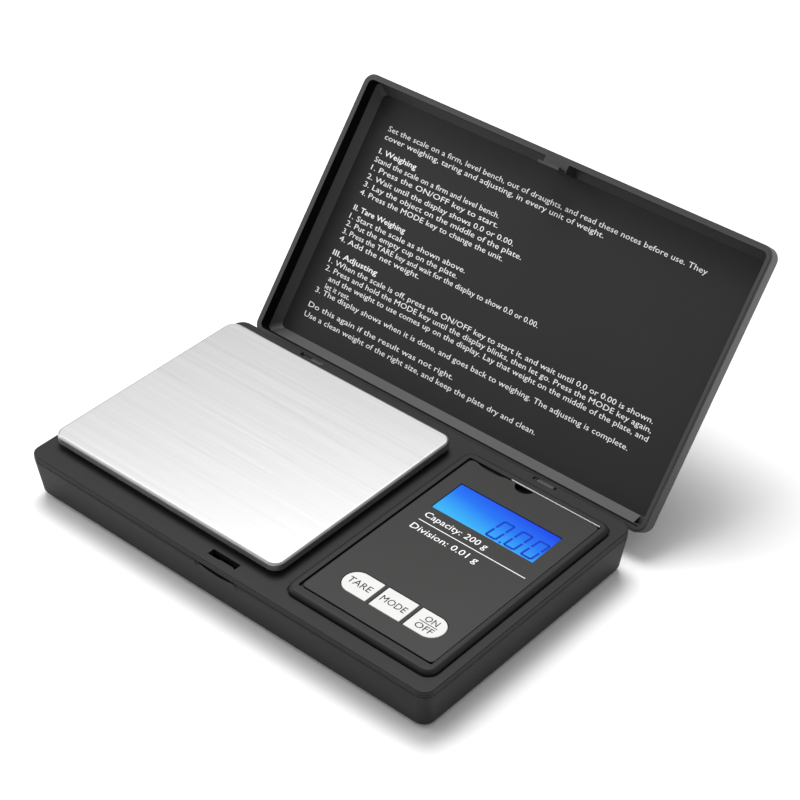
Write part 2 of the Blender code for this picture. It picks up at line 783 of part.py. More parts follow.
def screw(name, seat, length, up, parent=ROOT):
    """A pan-head screw with a cross recess; seat is the underside of its head."""
    head, shank = SCREW_HEAD_RADIUS, SCREW_SHANK_RADIUS
    edge = 0.35 * MM
    profile = [
        (0, -SCREW_HEAD_HEIGHT),
        (head - edge, -SCREW_HEAD_HEIGHT),
        (head, -SCREW_HEAD_HEIGHT + edge),
        (head, 0),
        (shank, 0),
        (shank, length - 0.7 * MM),
        (0.3 * MM, length),
        (0, length),
    ]
    bm = bmesh.new()
    verts = [bm.verts.new((r, 0, h)) for r, h in profile]
    for a, b in zip(verts, verts[1:]):
        bm.edges.new((a, b))
    mesh = bpy.data.meshes.new(name)
    bm.to_mesh(mesh)
    bm.free()
    turned = new_object(name + "_turned", mesh, (0, 0, 0))
    spin = turned.modifiers.new("turn", "SCREW")
    spin.steps = spin.render_steps = 12
    spin.use_merge_vertices = True
    spin.merge_threshold = 1e-6
    bpy.context.view_layer.update()
    body = evaluated_mesh(turned)
    bpy.data.objects.remove(turned, do_unlink=True)
    bm = bmesh.new()
    bm.from_mesh(body)
    bmesh.ops.remove_doubles(bm, verts=bm.verts, dist=1e-6)
    bmesh.ops.recalc_face_normals(bm, faces=bm.faces)
    if not up:
        bmesh.ops.rotate(bm, verts=bm.verts, matrix=Matrix.Rotation(math.pi, 3, "X"))
    bm.to_mesh(body)
    bm.free()
    piece = new_object(name, body, seat)
    sign = 1 if up else -1
    top = seat[2] - sign * SCREW_HEAD_HEIGHT
    recess = sorted((top - sign * 0.5 * MM, top + sign * 0.6 * MM))
    blades = ((2.1 * MM, 0.5 * MM), (0.5 * MM, 2.1 * MM))
    for number, (width, depth) in enumerate(blades):
        blade = slab(
            f"{name}_recess_{number}", around(seat[0], width), around(seat[1], depth), recess
        )
        cut(piece, blade, parent=parent)
    return finish(piece, PIN_STEEL, parent)


# ---- Batteries -------------------------------------------------------------------------------
def make_battery(number, y, nub_end, direction):
    """A round cell lying along X, with its nub at nub_end."""
    body_end = nub_end - direction * CELL_NUB_LENGTH
    far_end = nub_end - direction * CELL_LENGTH
    battery = rod(
        f"battery_{number}", (far_end, y, CELL_Z), (body_end, y, CELL_Z), CELL_RADIUS, sides=28
    )
    nub = rod(
        f"battery_nub_{number}",
        (body_end - direction * 0.5 * MM, y, CELL_Z),
        (nub_end, y, CELL_Z),
        CELL_NUB_RADIUS,
        sides=16,
    )
    join(battery, nub)
    return finish(battery, CELL_WRAP)


def make_spring(number, y, plate_face, direction):
    """A tapered contact spring from the plate to the flat end of the cell."""
    turns, steps = 3.5, 10
    length = BAY_SPARE - 2.3 * MM
    points = []
    for i in range(int(turns * steps) + 1):
        share = i / (turns * steps)
        angle = 2 * math.pi * i / steps
        radius = (3.4 - 1.4 * share) * MM
        points.append(
            (
                plate_face + direction * (0.6 * MM + (length - 0.9 * MM) * share),
                y + radius * math.cos(angle),
                CELL_Z + radius * math.sin(angle),
            )
        )
    return wire(f"contact_spring_{number}", points, 0.3 * MM, SPRING_STEEL)


def make_battery_bay():
    plate_thickness = 0.4 * MM
    left_face = BAY_X[0] + 0.3 * MM + plate_thickness
    right_face = BAY_X[1] - 0.3 * MM - plate_thickness
    make_battery(1, CELL_Y[0], right_face - GAP, 1)
    make_battery(2, CELL_Y[1], left_face + GAP, -1)
    make_spring(1, CELL_Y[0], left_face, 1)
    make_spring(2, CELL_Y[1], right_face, -1)
    height = (CELL_Z - 4.2 * MM, CELL_Z + 4.3 * MM)
    plates = (
        ("contact_bridge", (right_face, right_face + plate_thickness), grown(BAY_Y, -0.5 * MM)),
        ("contact_negative", (left_face - plate_thickness, left_face), around(CELL_Y[0], 9.2 * MM)),
        ("contact_positive", (left_face - plate_thickness, left_face), around(CELL_Y[1], 9.2 * MM)),
    )
    for name, x, y in plates:
        finish(slab(name, x, y, height), SPRING_STEEL)


def make_battery_door():
    door = slab(
        "battery_door",
        grown(BAY_X, -DOOR_CLEARANCE),
        (BAY_Y[0] + DOOR_CLEARANCE, DOOR_AXIS_Y),
        (UNDERSIDE, UNDERSIDE + DOOR_THICKNESS),
    )
    top = UNDERSIDE + DOOR_THICKNESS
    for end in (-1, 1):
        x = around(door_tab_x(end), 4.0 * MM)
        join(
            door,
            slab(
                f"door_tab_post_{end + 1}",
                x,
                (DOOR_AXIS_Y - 1.2 * MM, DOOR_AXIS_Y - 0.2 * MM),
                (top - 0.3 * MM, FLOOR_TOP + 1.0 * MM),
            ),
            slab(
                f"door_tab_hook_{end + 1}",
                grown(x, -0.3 * MM),
                (DOOR_AXIS_Y - 1.0 * MM, BAY_Y[1] + 1.0 * MM),
                (FLOOR_TOP + 0.25 * MM, FLOOR_TOP + 0.8 * MM),
            ),
            parent=DOOR_AXIS,
        )
    grip_x = (BAY_X[0] + BAY_X[1]) / 2
    for rib in range(5):
        y = BAY_Y[0] + (2.0 + 1.1 * rib) * MM
        groove = slab(
            f"door_grip_{rib}",
            around(grip_x, 14.0 * MM),
            around(y, 0.5 * MM),
            (UNDERSIDE - 1 * MM, UNDERSIDE + 0.35 * MM),
        )
        cut(door, groove, parent=DOOR_AXIS)
    return finish(door, CASE_BLACK, DOOR_AXIS)


# ---- Weighing -------------------------------------------------------------------------------
def make_load_cell():
    beam = slab(
        "load_cell",
        BEAM_X,
        around(BEAM_Y, BEAM_WIDTH),
        (BEAM_BOTTOM, BEAM_TOP),
        corner=0.4 * MM,
        segments=1,
    )
    middle = sum(BEAM_X) / 2
    z = (BEAM_BOTTOM + BEAM_TOP) / 2
    reach = BEAM_WIDTH / 2 + 1 * MM
    for side in (-1, 1):
        x = middle + side * 4.2 * MM
        cut(
            beam,
            rod(
                f"beam_window_{side + 1}",
                (x, BEAM_Y - reach, z),
                (x, BEAM_Y + reach, z),
                2.3 * MM,
            ),
        )
    cut(
        beam,
        slab(
            "beam_slot",
            around(middle, 8.4 * MM),
            around(BEAM_Y, 2 * reach),
            around(z, 1.5 * MM),
        ),
    )
    for x in BEAM_FIXED_HOLES + BEAM_FREE_HOLES:
        cut(
            beam,
            rod(
                "beam_hole",
                (x, BEAM_Y, BEAM_BOTTOM - 1 * MM),
                (x, BEAM_Y, BEAM_TOP + 1 * MM),
                SCREW_SHANK_RADIUS + 0.2 * MM,
                sides=16,
            ),
        )
    finish(beam, BEAM_ALUMINIUM)
    potting = slab(
        "gauge_potting",
        around(middle, 15.0 * MM),
        around(BEAM_Y, 8.5 * MM),
        (BEAM_TOP + 0.1 * MM, BEAM_TOP + 0.9 * MM),
        corner=1.5 * MM,
        top=0.4 * MM,
        segments=2,
    )
    finish(potting, POTTING_WHITE)
    for number, x in enumerate(BEAM_FIXED_HOLES):
        seat = (x, BEAM_Y, BEAM_TOP + 0.15 * MM)
        screw(f"load_cell_screw_{number + 1}", seat, BEAM_HEIGHT + 1.6 * MM, up=False)
    stop = rod(
        "overload_stop",
        (BEAM_FREE_HOLES[0], BEAM_Y, UNDERSIDE + 0.8 * MM),
        (BEAM_FREE_HOLES[0], BEAM_Y, BEAM_BOTTOM - GAP),
        1.35 * MM,
        sides=16,
    )
    finish(stop, PIN_STEEL)


def make_pan():
    carrier = slab(
        "pan_carrier",
        grown(PAN_X, -PAN_THICKNESS - 0.5 * MM),
        grown(PAN_Y, -PAN_THICKNESS - 0.5 * MM),
        (CARRIER_BOTTOM, CARRIER_TOP),
        corner=2.0 * MM,
    )
    boss_x = sum(BEAM_FREE_HOLES) / 2
    join(
        carrier,
        slab(
            "carrier_boss",
            around(boss_x, CARRIER_BOSS),
            around(BEAM_Y, CARRIER_BOSS),
            (BEAM_TOP + PAN_TRAVEL + 0.05 * MM, CARRIER_TOP - 0.4 * MM),
            corner=0.8 * MM,
            segments=2,
        ),
        parent=PAN_AXIS,
    )
    seat_z = CARRIER_TOP - SCREW_HEAD_HEIGHT - 0.1 * MM
    for x in BEAM_FREE_HOLES:
        cut(
            carrier,
            rod(
                "carrier_counterbore",
                (x, BEAM_Y, seat_z - 0.1 * MM),
                (x, BEAM_Y, CARRIER_TOP + 1 * MM),
                SCREW_HEAD_RADIUS + 0.3 * MM,
            ),
            rod(
                "carrier_hole",
                (x, BEAM_Y, BEAM_TOP - 1 * MM),
                (x, BEAM_Y, CARRIER_TOP + 1 * MM),
                SCREW_SHANK_RADIUS + 0.2 * MM,
                sides=16,
            ),
            parent=PAN_AXIS,
        )
    finish(carrier, CASE_BLACK, PAN_AXIS)
    for number, x in enumerate(BEAM_FREE_HOLES):
        length = seat_z - BEAM_BOTTOM - 1.2 * MM
        screw(f"carrier_screw_{number + 1}", (x, BEAM_Y, seat_z), length, False, PAN_AXIS)

    pan = slab(
        "weighing_pan",
        PAN_X,
        PAN_Y,
        (PAN_BOTTOM, PAN_TOP),
        corner=3.0 * MM,
        top=0.75 * MM,
        segments=4,
    )
    bm = bmesh.new()
    bm.from_mesh(pan.data)
    lowest = min(v.co.z for v in bm.verts)
    underneath = [f for f in bm.faces if all(v.co.z < lowest + 1e-6 for v in f.verts)]
    bmesh.ops.delete(bm, geom=underneath, context="FACES")
    bm.to_mesh(pan.data)
    bm.free()
    sheet = pan.modifiers.new("sheet", "SOLIDIFY")
    sheet.thickness = PAN_THICKNESS
    sheet.offset = -1
    sheet.use_even_offset = True
    return finish(pan, PAN_STEEL, PAN_AXIS)


# ---- Display and keys ------------------------------------------------------------------------
def key_outline(number, grow=0.0):
    """Outline of a key in plan about the middle key's centre; the outer keys have a round end."""
    half_width, half_depth = KEY_WIDTH / 2 + grow, KEY_DEPTH / 2 + grow
    side = number - 1
    centre = side * KEY_SPACING
    if side == 0:
        corners = ((-1, -1), (1, -1), (1, 1), (-1, 1))
        return [(sx * half_width, sy * half_depth) for sx, sy in corners]
    end = arc((half_width - half_depth, 0), half_depth, -90, 90, 12)
    points = [(-half_width, -half_depth)] + end + [(-half_width, half_depth)]
    if side < 0:
        points = [(-u, v) for u, v in reversed(points)]
    return [(centre + u, v) for u, v in points]


def key_plate(name, number, grow, z):
    middle = (z[0] + z[1]) / 2
    return plate(name, key_outline(number, grow), z[1] - z[0], (KEYS_X, KEYS_Y, middle))


def overlay_cutouts(prefix, z):
    """The thumb notch and the shallow scallop in the back edge of the overlay."""
    notch_x = OVERLAY_X[0] + 16.6 * MM
    scallop_x = OVERLAY_X[0] + 6.0 * MM
    notch = rod(
        prefix + "_notch",
        (notch_x, OVERLAY_Y[1] + 0.6 * MM, z[0]),
        (notch_x, OVERLAY_Y[1] + 0.6 * MM, z[1]),
        2.75 * MM,
        sides=28,
    )
    scallop = rod(
        prefix + "_scallop",
        (scallop_x, OVERLAY_Y[1] + 12.2 * MM, z[0]),
        (scallop_x, OVERLAY_Y[1] + 12.2 * MM, z[1]),
        13.1 * MM,
        sides=72,
    )
    return notch, scallop


def make_display_housing():
    housing = slab(
        "display_housing",
        HOUSING_X,
        HOUSING_Y,
        (HOUSING_BOTTOM, HOUSING_TOP),
        corner=CORNER_RADIUS,
        top=1.15 * MM,
        segments=4,
    )
    notch, scallop = overlay_cutouts("housing", (HOUSING_BOTTOM - 1 * MM, HOUSING_LEDGE + 0.1 * MM))
    bpy.data.objects.remove(scallop, do_unlink=True)
    through = (HOUSING_BOTTOM - 1 * MM, HOUSING_TOP)
    cut(
        housing,
        slab(
            "overlay_recess",
            RECESS_X,
            RECESS_Y,
            (HOUSING_LEDGE, HOUSING_TOP + 1 * MM),
            corner=0.4 * MM,
            segments=1,
        ),
        slab(
            "glass_opening",
            around(DISPLAY_X, WINDOW_WIDTH + 4.2 * MM),
            around(DISPLAY_Y, WINDOW_DEPTH + 4.9 * MM),
            through,
        ),
        slab(
            "keys_opening",
            around(KEYS_X, 2 * KEY_SPACING + KEY_WIDTH + 1.8 * MM),
            around(KEYS_Y, KEY_DEPTH + 1.8 * MM),
            through,
            corner=4.4 * MM,
        ),
        notch,
    )
    return finish(housing, DECK_BLACK)


def make_overlay():
    overlay = slab(
        "panel_overlay",
        OVERLAY_X,
        OVERLAY_Y,
        (OVERLAY_BOTTOM, OVERLAY_TOP),
        corner=1.2 * MM,
        top=0.12 * MM,
        segments=3,
    )
    z = (OVERLAY_BOTTOM - 1 * MM, OVERLAY_TOP + 1 * MM)
    cut(
        overlay,
        slab(
            "window_opening",
            around(DISPLAY_X, WINDOW_WIDTH),
            around(DISPLAY_Y, WINDOW_DEPTH),
            z,
        ),
        *overlay_cutouts("overlay", z),
    )
    for number, name in enumerate(KEY_NAMES):
        cut(overlay, key_plate(name + "_opening", number, 0.2 * MM, z))
    return finish(overlay, OVERLAY_GREY)


def make_keys():
    flange_top = OVERLAY_BOTTOM - GAP
    cap_top = OVERLAY_TOP + 0.05 * MM
    for number, name in enumerate(KEY_NAMES):
        key = key_plate(name + "_key", number, 0.0, (flange_top - 0.2 * MM, cap_top))
        x = KEYS_X + (number - 1) * KEY_SPACING
        switch_top = BOARD_TOP + 0.9 * MM
        stem_bottom = switch_top + KEY_TRAVEL + 0.05 * MM
        join(
            key,
            key_plate(name + "_flange", number, 0.35 * MM, (flange_top - 0.5 * MM, flange_top)),
            rod(
                name + "_stem",
                (x, KEYS_Y, stem_bottom),
                (x, KEYS_Y, flange_top - 0.3 * MM),
                1.4 * MM,
                sides=14,
            ),
        )
        finish(key, KEY_WHITE)
        dome = rod(
            name + "_dome",
            (x, KEYS_Y, BOARD_TOP + 0.3 * MM),
            (x, KEYS_Y, switch_top),
            2.6 * MM,
            1.2 * MM,
            sides=20,
        )
        finish(dome, SPRING_STEEL)


def make_display():
    window_top = OVERLAY_TOP - 0.1 * MM
    glass_top = OVERLAY_BOTTOM - 0.8 * MM
    glass_bottom = glass_top - 1.2 * MM
    light_top = glass_bottom - GAP
    frame_bottom = BOARD_TOP + GAP
    inside = (WINDOW_WIDTH + 4.2 * MM, WINDOW_DEPTH + 4.9 * MM)
    window = slab(
        "lcd_window",
        around(DISPLAY_X, WINDOW_WIDTH - 0.4 * MM),
        around(DISPLAY_Y, WINDOW_DEPTH - 0.4 * MM),
        (glass_top + 0.2 * MM, window_top),
    )
    finish(window, LCD_BLUE)
    glass = slab(
        "lcd_glass",
        around(DISPLAY_X, inside[0] - 0.6 * MM),
        around(DISPLAY_Y, inside[1] - 0.6 * MM),
        (glass_bottom, glass_top),
    )
    finish(glass, GLASS_CLEAR)
    light = slab(
        "backlight",
        around(DISPLAY_X, inside[0] - 2.6 * MM),
        around(DISPLAY_Y, inside[1] - 3.1 * MM),
        (light_top - 2.4 * MM, light_top),
    )
    finish(light, LIGHT_GUIDE)
    frame = slab(
        "lcd_frame",
        around(DISPLAY_X, inside[0] + 2.8 * MM),
        around(DISPLAY_Y, inside[1] + 2.8 * MM),
        (frame_bottom, HOUSING_BOTTOM - GAP),
        corner=0.8 * MM,
        segments=2,
    )
    cut(
        frame,
        slab(
            "frame_inside",
            around(DISPLAY_X, inside[0]),
            around(DISPLAY_Y, inside[1]),
            (frame_bottom - 1 * MM, HOUSING_TOP),
        ),
    )
    finish(frame, CASE_BLACK)
    strip_y = DISPLAY_Y + inside[1] / 2 - 0.75 * MM
    strip = slab(
        "zebra_strip",
        around(DISPLAY_X, inside[0] - 4.6 * MM),
        around(strip_y, 0.9 * MM),
        (frame_bottom, light_top),
    )
    finish(strip, RUBBER_PINK)


def make_board():
    x, y = board_span()
    board = slab("main_board", x, y, (BOARD_BOTTOM, BOARD_TOP), corner=1.0 * MM, segments=1)
    finish(board, BOARD_GREEN)
    chip_y = (KEYS_Y + DISPLAY_Y) / 2 - 3.0 * MM
    chip = rod(
        "controller_chip",
        (DISPLAY_X, chip_y, BOARD_TOP + GAP),
        (DISPLAY_X, chip_y, BOARD_TOP + 1.6 * MM),
        4.4 * MM,
        2.6 * MM,
        sides=24,
    )
    finish(chip, CHIP_BLACK)


def make_wires():
    """Cell leads from the contact plates, and the gauge cable, to the left edge of the board."""
    board_x, board_y = board_span()
    over_wall = CELL_Z + 1.6 * MM
    outside = BAY_X[0] - BAY_WALL - 2.2 * MM
    start_x = BAY_X[0] - BAY_WALL - 0.2 * MM
    behind_beam = BEAM_Y + BEAM_WIDTH / 2 + 3.0 * MM
    leads = (("battery_lead_black", CELL_Y[0], 0.0), ("battery_lead_red", CELL_Y[1], 2.2 * MM))
    for (name, y, shift), mat in zip(leads, (WIRE_BLACK, WIRE_RED)):
        points = (
            (start_x + 0.9 * MM, y, over_wall),
            (outside - shift, y + 1.5 * MM, over_wall - 0.6 * MM),
            (outside - shift, y + 6.0 * MM, over_wall - 2.0 * MM),
            (outside - shift, BEAM_Y, 5.0 * MM + shift),
            (outside - shift + 3.0 * MM, behind_beam + shift, 4.5 * MM + shift),
            ((BEAM_X[0] + BEAM_X[1]) / 2, behind_beam + shift, 4.0 * MM + shift),
            (BEAM_X[1] + 6.0 * MM, behind_beam + shift, 4.5 * MM + shift),
            (board_x[0] - 4.0 * MM, behind_beam - 3.0 * MM + shift, BOARD_TOP - 0.6 * MM),
            (board_x[0] - 0.4 * MM, behind_beam - 4.0 * MM + shift, BOARD_TOP - 0.6 * MM),
        )
        wire(name, smooth_route(points, 3.5 * MM), 0.5 * MM, mat)
    middle = sum(BEAM_X) / 2
    cable = (
        (middle + 7.9 * MM, BEAM_Y + 1.5 * MM, BEAM_TOP + 1.0 * MM),
        (middle + 11.0 * MM, BEAM_Y + BEAM_WIDTH / 2 - 1.0 * MM, BEAM_TOP + 1.3 * MM),
        (middle + 13.5 * MM, BEAM_Y + BEAM_WIDTH / 2 + 1.6 * MM, BEAM_TOP + 0.2 * MM),
        (BEAM_X[1] + 2.5 * MM, BEAM_Y + BEAM_WIDTH / 2 + 1.0 * MM, BOARD_TOP + 0.4 * MM),
        (board_x[0] - 4.0 * MM, BEAM_Y - 2.0 * MM, BOARD_TOP - 0.6 * MM),
        (board_x[0] - 0.4 * MM, BEAM_Y - 2.5 * MM, BOARD_TOP - 0.6 * MM),
    )
    wire("load_cell_cable", smooth_route(cable, 2.5 * MM), 0.6 * MM, WIRE_GREY)


# ---- Latch and hinge -------------------------------------------------------------------------
def make_latch_button():
    behind_wall = FRONT + WALL + 0.55 * MM
    button = slab(
        "latch_button",
        around(0, 24.0 * MM),
        (behind_wall, behind_wall + 0.6 * MM),
        (CASE_RIM - 2.6 * MM, CASE_RIM - 0.2 * MM),
    )
    nose = latch_dip("button_nose", (FRONT + 0.6 * MM, behind_wall + 0.3 * MM), 0.15 * MM)
    join(button, nose)
    return finish(button, CASE_BLACK)


def make_hinge_pins():
    for side, middle in zip(("left", "right"), BARREL_X):
        half = HINGE_PIN_LENGTH / 2
        pin = rod(
            "hinge_pin_" + side,
            (middle - half, HINGE_Y, HINGE_Z),
            (middle + half, HINGE_Y, HINGE_Z),
            HINGE_PIN_RADIUS,
            sides=24,
        )
        finish(pin, PIN_STEEL)


def ear_outline():
    """Side view of a hinge ear on the closed lid, as (y, z) about the hinge axis."""
    arm_y = HINGE_BEHIND + 0.9 * MM
    arm_top = LID_TOP - HINGE_Z - 1.6 * MM
    heel_z = -1.6 * MM
    heel_open = Vector((-(HINGE_BEHIND + EAR_NOTCH_DEPTH) + GAP, heel_z))
    turn = LID_OPEN_ANGLE
    heel = (
        heel_open.x * math.cos(turn) - heel_open.y * math.sin(turn),
        heel_open.x * math.sin(turn) + heel_open.y * math.cos(turn),
    )
    clear = HINGE_BELOW + 0.9 * MM
    points = [
        (-HINGE_RADIUS, 0),
        (-HINGE_RADIUS, clear),
        (-arm_y, clear + 0.3 * MM),
        (-arm_y, arm_top),
        (0.6 * MM, arm_top - 0.4 * MM),
        (1.5 * MM, arm_top - 2.2 * MM),
        (HINGE_RADIUS, 1.6 * MM),
        heel,
    ]
    return points + arc((0, 0), HINGE_RADIUS, -40, -170, 8)


def lean_ends(obj, low, high, lean):
    """Leans the end walls in towards the top, by lean between two heights."""
    half_width = (RIGHT - LEFT) / 2
    for vert in obj.data.vertices:
        rise = (vert.co.z + obj.location.z - low) / (high - low)
        vert.co.x *= 1 - rise * lean / half_width
    return obj


def make_lid():
    lid = slab(
        "lid_shell",
        (LEFT, RIGHT),
        (FRONT, BACK),
        (LID_RIM, LID_TOP),
        corner=CORNER_RADIUS,
        top=1.3 * MM,
        segments=4,
    )
    lean_ends(lid, LID_RIM, LID_TOP, LID_LEAN)
    cut(
        lid,
        slab(
            "lid_cavity",
            (LEFT + LID_WALL, RIGHT - LID_WALL),
            (FRONT + LID_WALL, BACK - LID_WALL),
            (LID_RIM - 1 * MM, LID_RIM + LID_DEPTH),
            corner=CORNER_RADIUS - LID_WALL,
            top=LID_CHAMFER,
            segments=1,
        ),
        slab(
            "lid_corner_pocket",
            (RIGHT - 5.4 * MM, RIGHT - LID_WALL - 0.6 * MM),
            (BACK - LID_WALL - LID_CHAMFER, BACK - LID_WALL - 0.1 * MM),
            (LID_RIM - 1 * MM, LID_RIM + LID_DEPTH - 0.05 * MM),
        ),
        parent=LID_AXIS,
    )
    for end, barrel_end in zip((-1, 1), BARREL_X):
        ear = plate(
            f"hinge_ear_{end + 1}",
            ear_outline(),
            HINGE_EAR_WIDTH,
            (barrel_end + end * (GAP + HINGE_EAR_WIDTH / 2), HINGE_Y, HINGE_Z),
            (math.radians(90), 0, math.radians(90)),
        )
        join(lid, ear, parent=LID_AXIS)
    stem_bottom = DECK_UNDER - 1.3 * MM
    join(
        lid,
        slab(
            "hook_root",
            HOOK_X,
            (FRONT + 0.8 * MM, HOOK_Y[1]),
            (LID_RIM, LID_RIM + LID_DEPTH + 0.4 * MM),
        ),
        slab(
            "hook_stem",
            grown(HOOK_X, -0.4 * MM),
            HOOK_Y,
            (stem_bottom, LID_RIM + 1 * MM),
        ),
        slab(
            "hook_barb",
            grown(LEDGE_X, -0.3 * MM),
            (BARB_TIP_Y, HOOK_Y[0] + 0.2 * MM),
            (stem_bottom, DECK_UNDER - 0.2 * MM),
        ),
        parent=LID_AXIS,
    )
    for end, barrel_end in zip((-1, 1), BARREL_X):
        cut(
            lid,
            rod(
                f"ear_bore_{end + 1}",
                (barrel_end - end * 1 * MM, HINGE_Y, HINGE_Z),
                (barrel_end + end * (HINGE_PIN_LENGTH / 2 + GAP), HINGE_Y, HINGE_Z),
                HINGE_PIN_RADIUS + RUNNING_CLEARANCE,
                sides=24,
            ),
            parent=LID_AXIS,
        )
    return finish(lid, CASE_BLACK, LID_AXIS)


# ---- Assembly --------------------------------------------------------------------------------
def centre_over_origin():
    """Moves the tree so that the box around every piece is centred on X and Y, with the feet at 0."""
    bpy.context.view_layer.update()
    graph = bpy.context.evaluated_depsgraph_get()
    corners = []
    for obj in PARTS.objects:
        if obj.type != "EMPTY":
            evaluated = obj.evaluated_get(graph)
            corners += [evaluated.matrix_world @ v.co for v in evaluated.to_mesh().vertices]
    low = [min(c[i] for c in corners) for i in range(3)]
    high = [max(c[i] for c in corners) for i in range(3)]
    ROOT.location = (-(low[0] + high[0]) / 2, -(low[1] + high[1]) / 2, -low[2])


def build():
    make_lower_case()
    make_upper_deck()
    make_feet_and_screws()
    make_battery_bay()
    make_battery_door()
    make_load_cell()
    make_pan()
    make_display_housing()
    make_overlay()
    make_keys()
    make_display()
    make_board()
    make_wires()
    make_latch_button()
    make_hinge_pins()
    make_lid()
    LID_AXIS.rotation_euler.x = -LID_OPEN_ANGLE
    centre_over_origin()
    bpy.context.view_layer.update()


build()
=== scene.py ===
"""Pocket gram scale with its lid open: the pieces and finishes that show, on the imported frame."""

import math

import bmesh
import bpy
from mathutils import Matrix, Vector


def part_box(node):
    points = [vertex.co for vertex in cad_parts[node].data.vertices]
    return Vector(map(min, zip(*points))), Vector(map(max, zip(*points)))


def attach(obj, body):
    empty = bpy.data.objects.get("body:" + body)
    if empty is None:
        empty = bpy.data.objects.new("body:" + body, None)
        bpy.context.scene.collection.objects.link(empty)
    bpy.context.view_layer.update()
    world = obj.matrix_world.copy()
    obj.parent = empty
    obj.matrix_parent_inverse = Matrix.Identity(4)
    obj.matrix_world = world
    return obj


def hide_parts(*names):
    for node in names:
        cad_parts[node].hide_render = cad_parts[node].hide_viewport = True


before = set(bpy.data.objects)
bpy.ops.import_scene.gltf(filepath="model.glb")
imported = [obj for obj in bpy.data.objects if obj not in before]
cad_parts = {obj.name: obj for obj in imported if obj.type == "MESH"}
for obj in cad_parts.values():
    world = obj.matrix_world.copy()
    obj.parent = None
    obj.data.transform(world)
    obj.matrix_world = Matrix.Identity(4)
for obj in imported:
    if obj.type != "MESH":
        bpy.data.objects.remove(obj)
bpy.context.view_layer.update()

MM = 0.001

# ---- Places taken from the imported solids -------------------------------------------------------
DECK_LOW, DECK_HIGH = (Vector(c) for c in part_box("upper_deck"))
HOUSING_LOW, HOUSING_HIGH = (Vector(c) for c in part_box("display_housing"))
OVERLAY_LOW, OVERLAY_HIGH = (Vector(c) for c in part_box("panel_overlay"))
WINDOW_LOW, WINDOW_HIGH = (Vector(c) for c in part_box("lcd_window"))
PAN_LOW, PAN_HIGH = (Vector(c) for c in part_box("weighing_pan"))
PIN_LOW, PIN_HIGH = (Vector(c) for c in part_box("hinge_pin_left"))

FRONT = DECK_LOW.y
BACK = DECK_HIGH.y
LEFT = DECK_LOW.x
RIGHT = DECK_HIGH.x
MIDDLE_Y = FRONT + 36.25 * MM
DECK_TOP = HOUSING_LOW.z + 0.2 * MM
DECK_UNDER = DECK_TOP - 1.55 * MM
DECK_STEP = 0.5 * MM  # height of the plate's lower part, under its fine side groove
LID_RIM = DECK_TOP + 0.3 * MM
LID_TOP = LID_RIM + 7.2 * MM
LID_CHAMFER = 2.1 * MM  # the slope between the lid's inner walls and its flat
LID_SLOPE = LID_RIM + 3.8 * MM  # where that slope starts
LID_FLOOR = LID_SLOPE + LID_CHAMFER
LID_RIM_WIDTH = 1.5 * MM
PRINT_LIFT = 0.012 * MM  # how far printing stands clear of what it is on
HINGE = Vector((0, (PIN_LOW.y + PIN_HIGH.y) / 2, (PIN_LOW.z + PIN_HIGH.z) / 2))
LID_ANGLE = math.radians(128.7)
BARREL_END = 34.3 * MM  # half the length of the case's hinge barrel
LID_LEAN = 1.4 * MM  # how far each end wall leans in towards the top

CORNER = 3.0 * MM
SMOOTH_ANGLE = math.radians(32)


# ---- Modelling helpers -------------------------------------------------------------------------
def make_active(obj):
    bpy.ops.object.select_all(action="DESELECT")
    obj.select_set(True)
    bpy.context.view_layer.objects.active = obj


def settle(obj):
    """Puts the object's place into its mesh."""
    make_active(obj)
    bpy.ops.object.transform_apply(location=True, rotation=True, scale=True)
    return obj


def named(name):
    obj = bpy.context.object
    obj.name = name
    obj.data.name = name
    return settle(obj)


def block(name, low, high):
    low, high = Vector(low), Vector(high)
    bpy.ops.object.select_all(action="DESELECT")
    bpy.ops.mesh.primitive_cube_add(size=1, location=(low + high) / 2, scale=high - low)
    return named(name)


def rod(name, start, end, radius, sides=48, end_radius=None):
    start, end = Vector(start), Vector(end)
    along = end - start
    bpy.ops.object.select_all(action="DESELECT")
    bpy.ops.mesh.primitive_cone_add(
        vertices=sides,
        radius1=radius,
        radius2=radius if end_radius is None else end_radius,
        depth=along.length,
        location=(start + end) / 2,
        rotation=along.to_track_quat("Z", "Y").to_euler(),
    )
    return named(name)


def pick(obj, kind, test):
    """Opens the object in edit mode with exactly the faces or edges that pass the test selected."""
    make_active(obj)
    bpy.ops.object.mode_set(mode="EDIT")
    bpy.ops.mesh.select_mode(type=kind)
    bpy.ops.mesh.select_all(action="DESELECT")
    mesh = bmesh.from_edit_mesh(obj.data)
    if kind == "FACE":
        for face in mesh.faces:
            face.select_set(test(face.calc_center_median(), face.normal))
    else:
        for edge in mesh.edges:
            edge.select_set(test(edge.verts[0].co, edge.verts[1].co))
    mesh.select_flush_mode()
    bmesh.update_edit_mesh(obj.data)


def done():
    bpy.ops.object.mode_set(mode="OBJECT")


def upright(a, b):
    return abs(a.z - b.z) > 1e-6 and (a.xy - b.xy).length < 1e-3


def at_height(z):
    return lambda a, b: abs(a.z - z) < 1e-6 and abs(b.z - z) < 1e-6


def facing_up(z):
    return lambda centre, normal: abs(centre.z - z) < 1e-6 and normal.z > 0.9


def facing_down(z):
    return lambda centre, normal: abs(centre.z - z) < 1e-6 and normal.z < -0.9


def round_edges(obj, test, radius, segments):
    pick(obj, "EDGE", test)
    bpy.ops.mesh.bevel(
        offset=radius, offset_type="OFFSET", segments=segments, profile=0.5, clamp_overlap=False
    )
    done()
    return obj


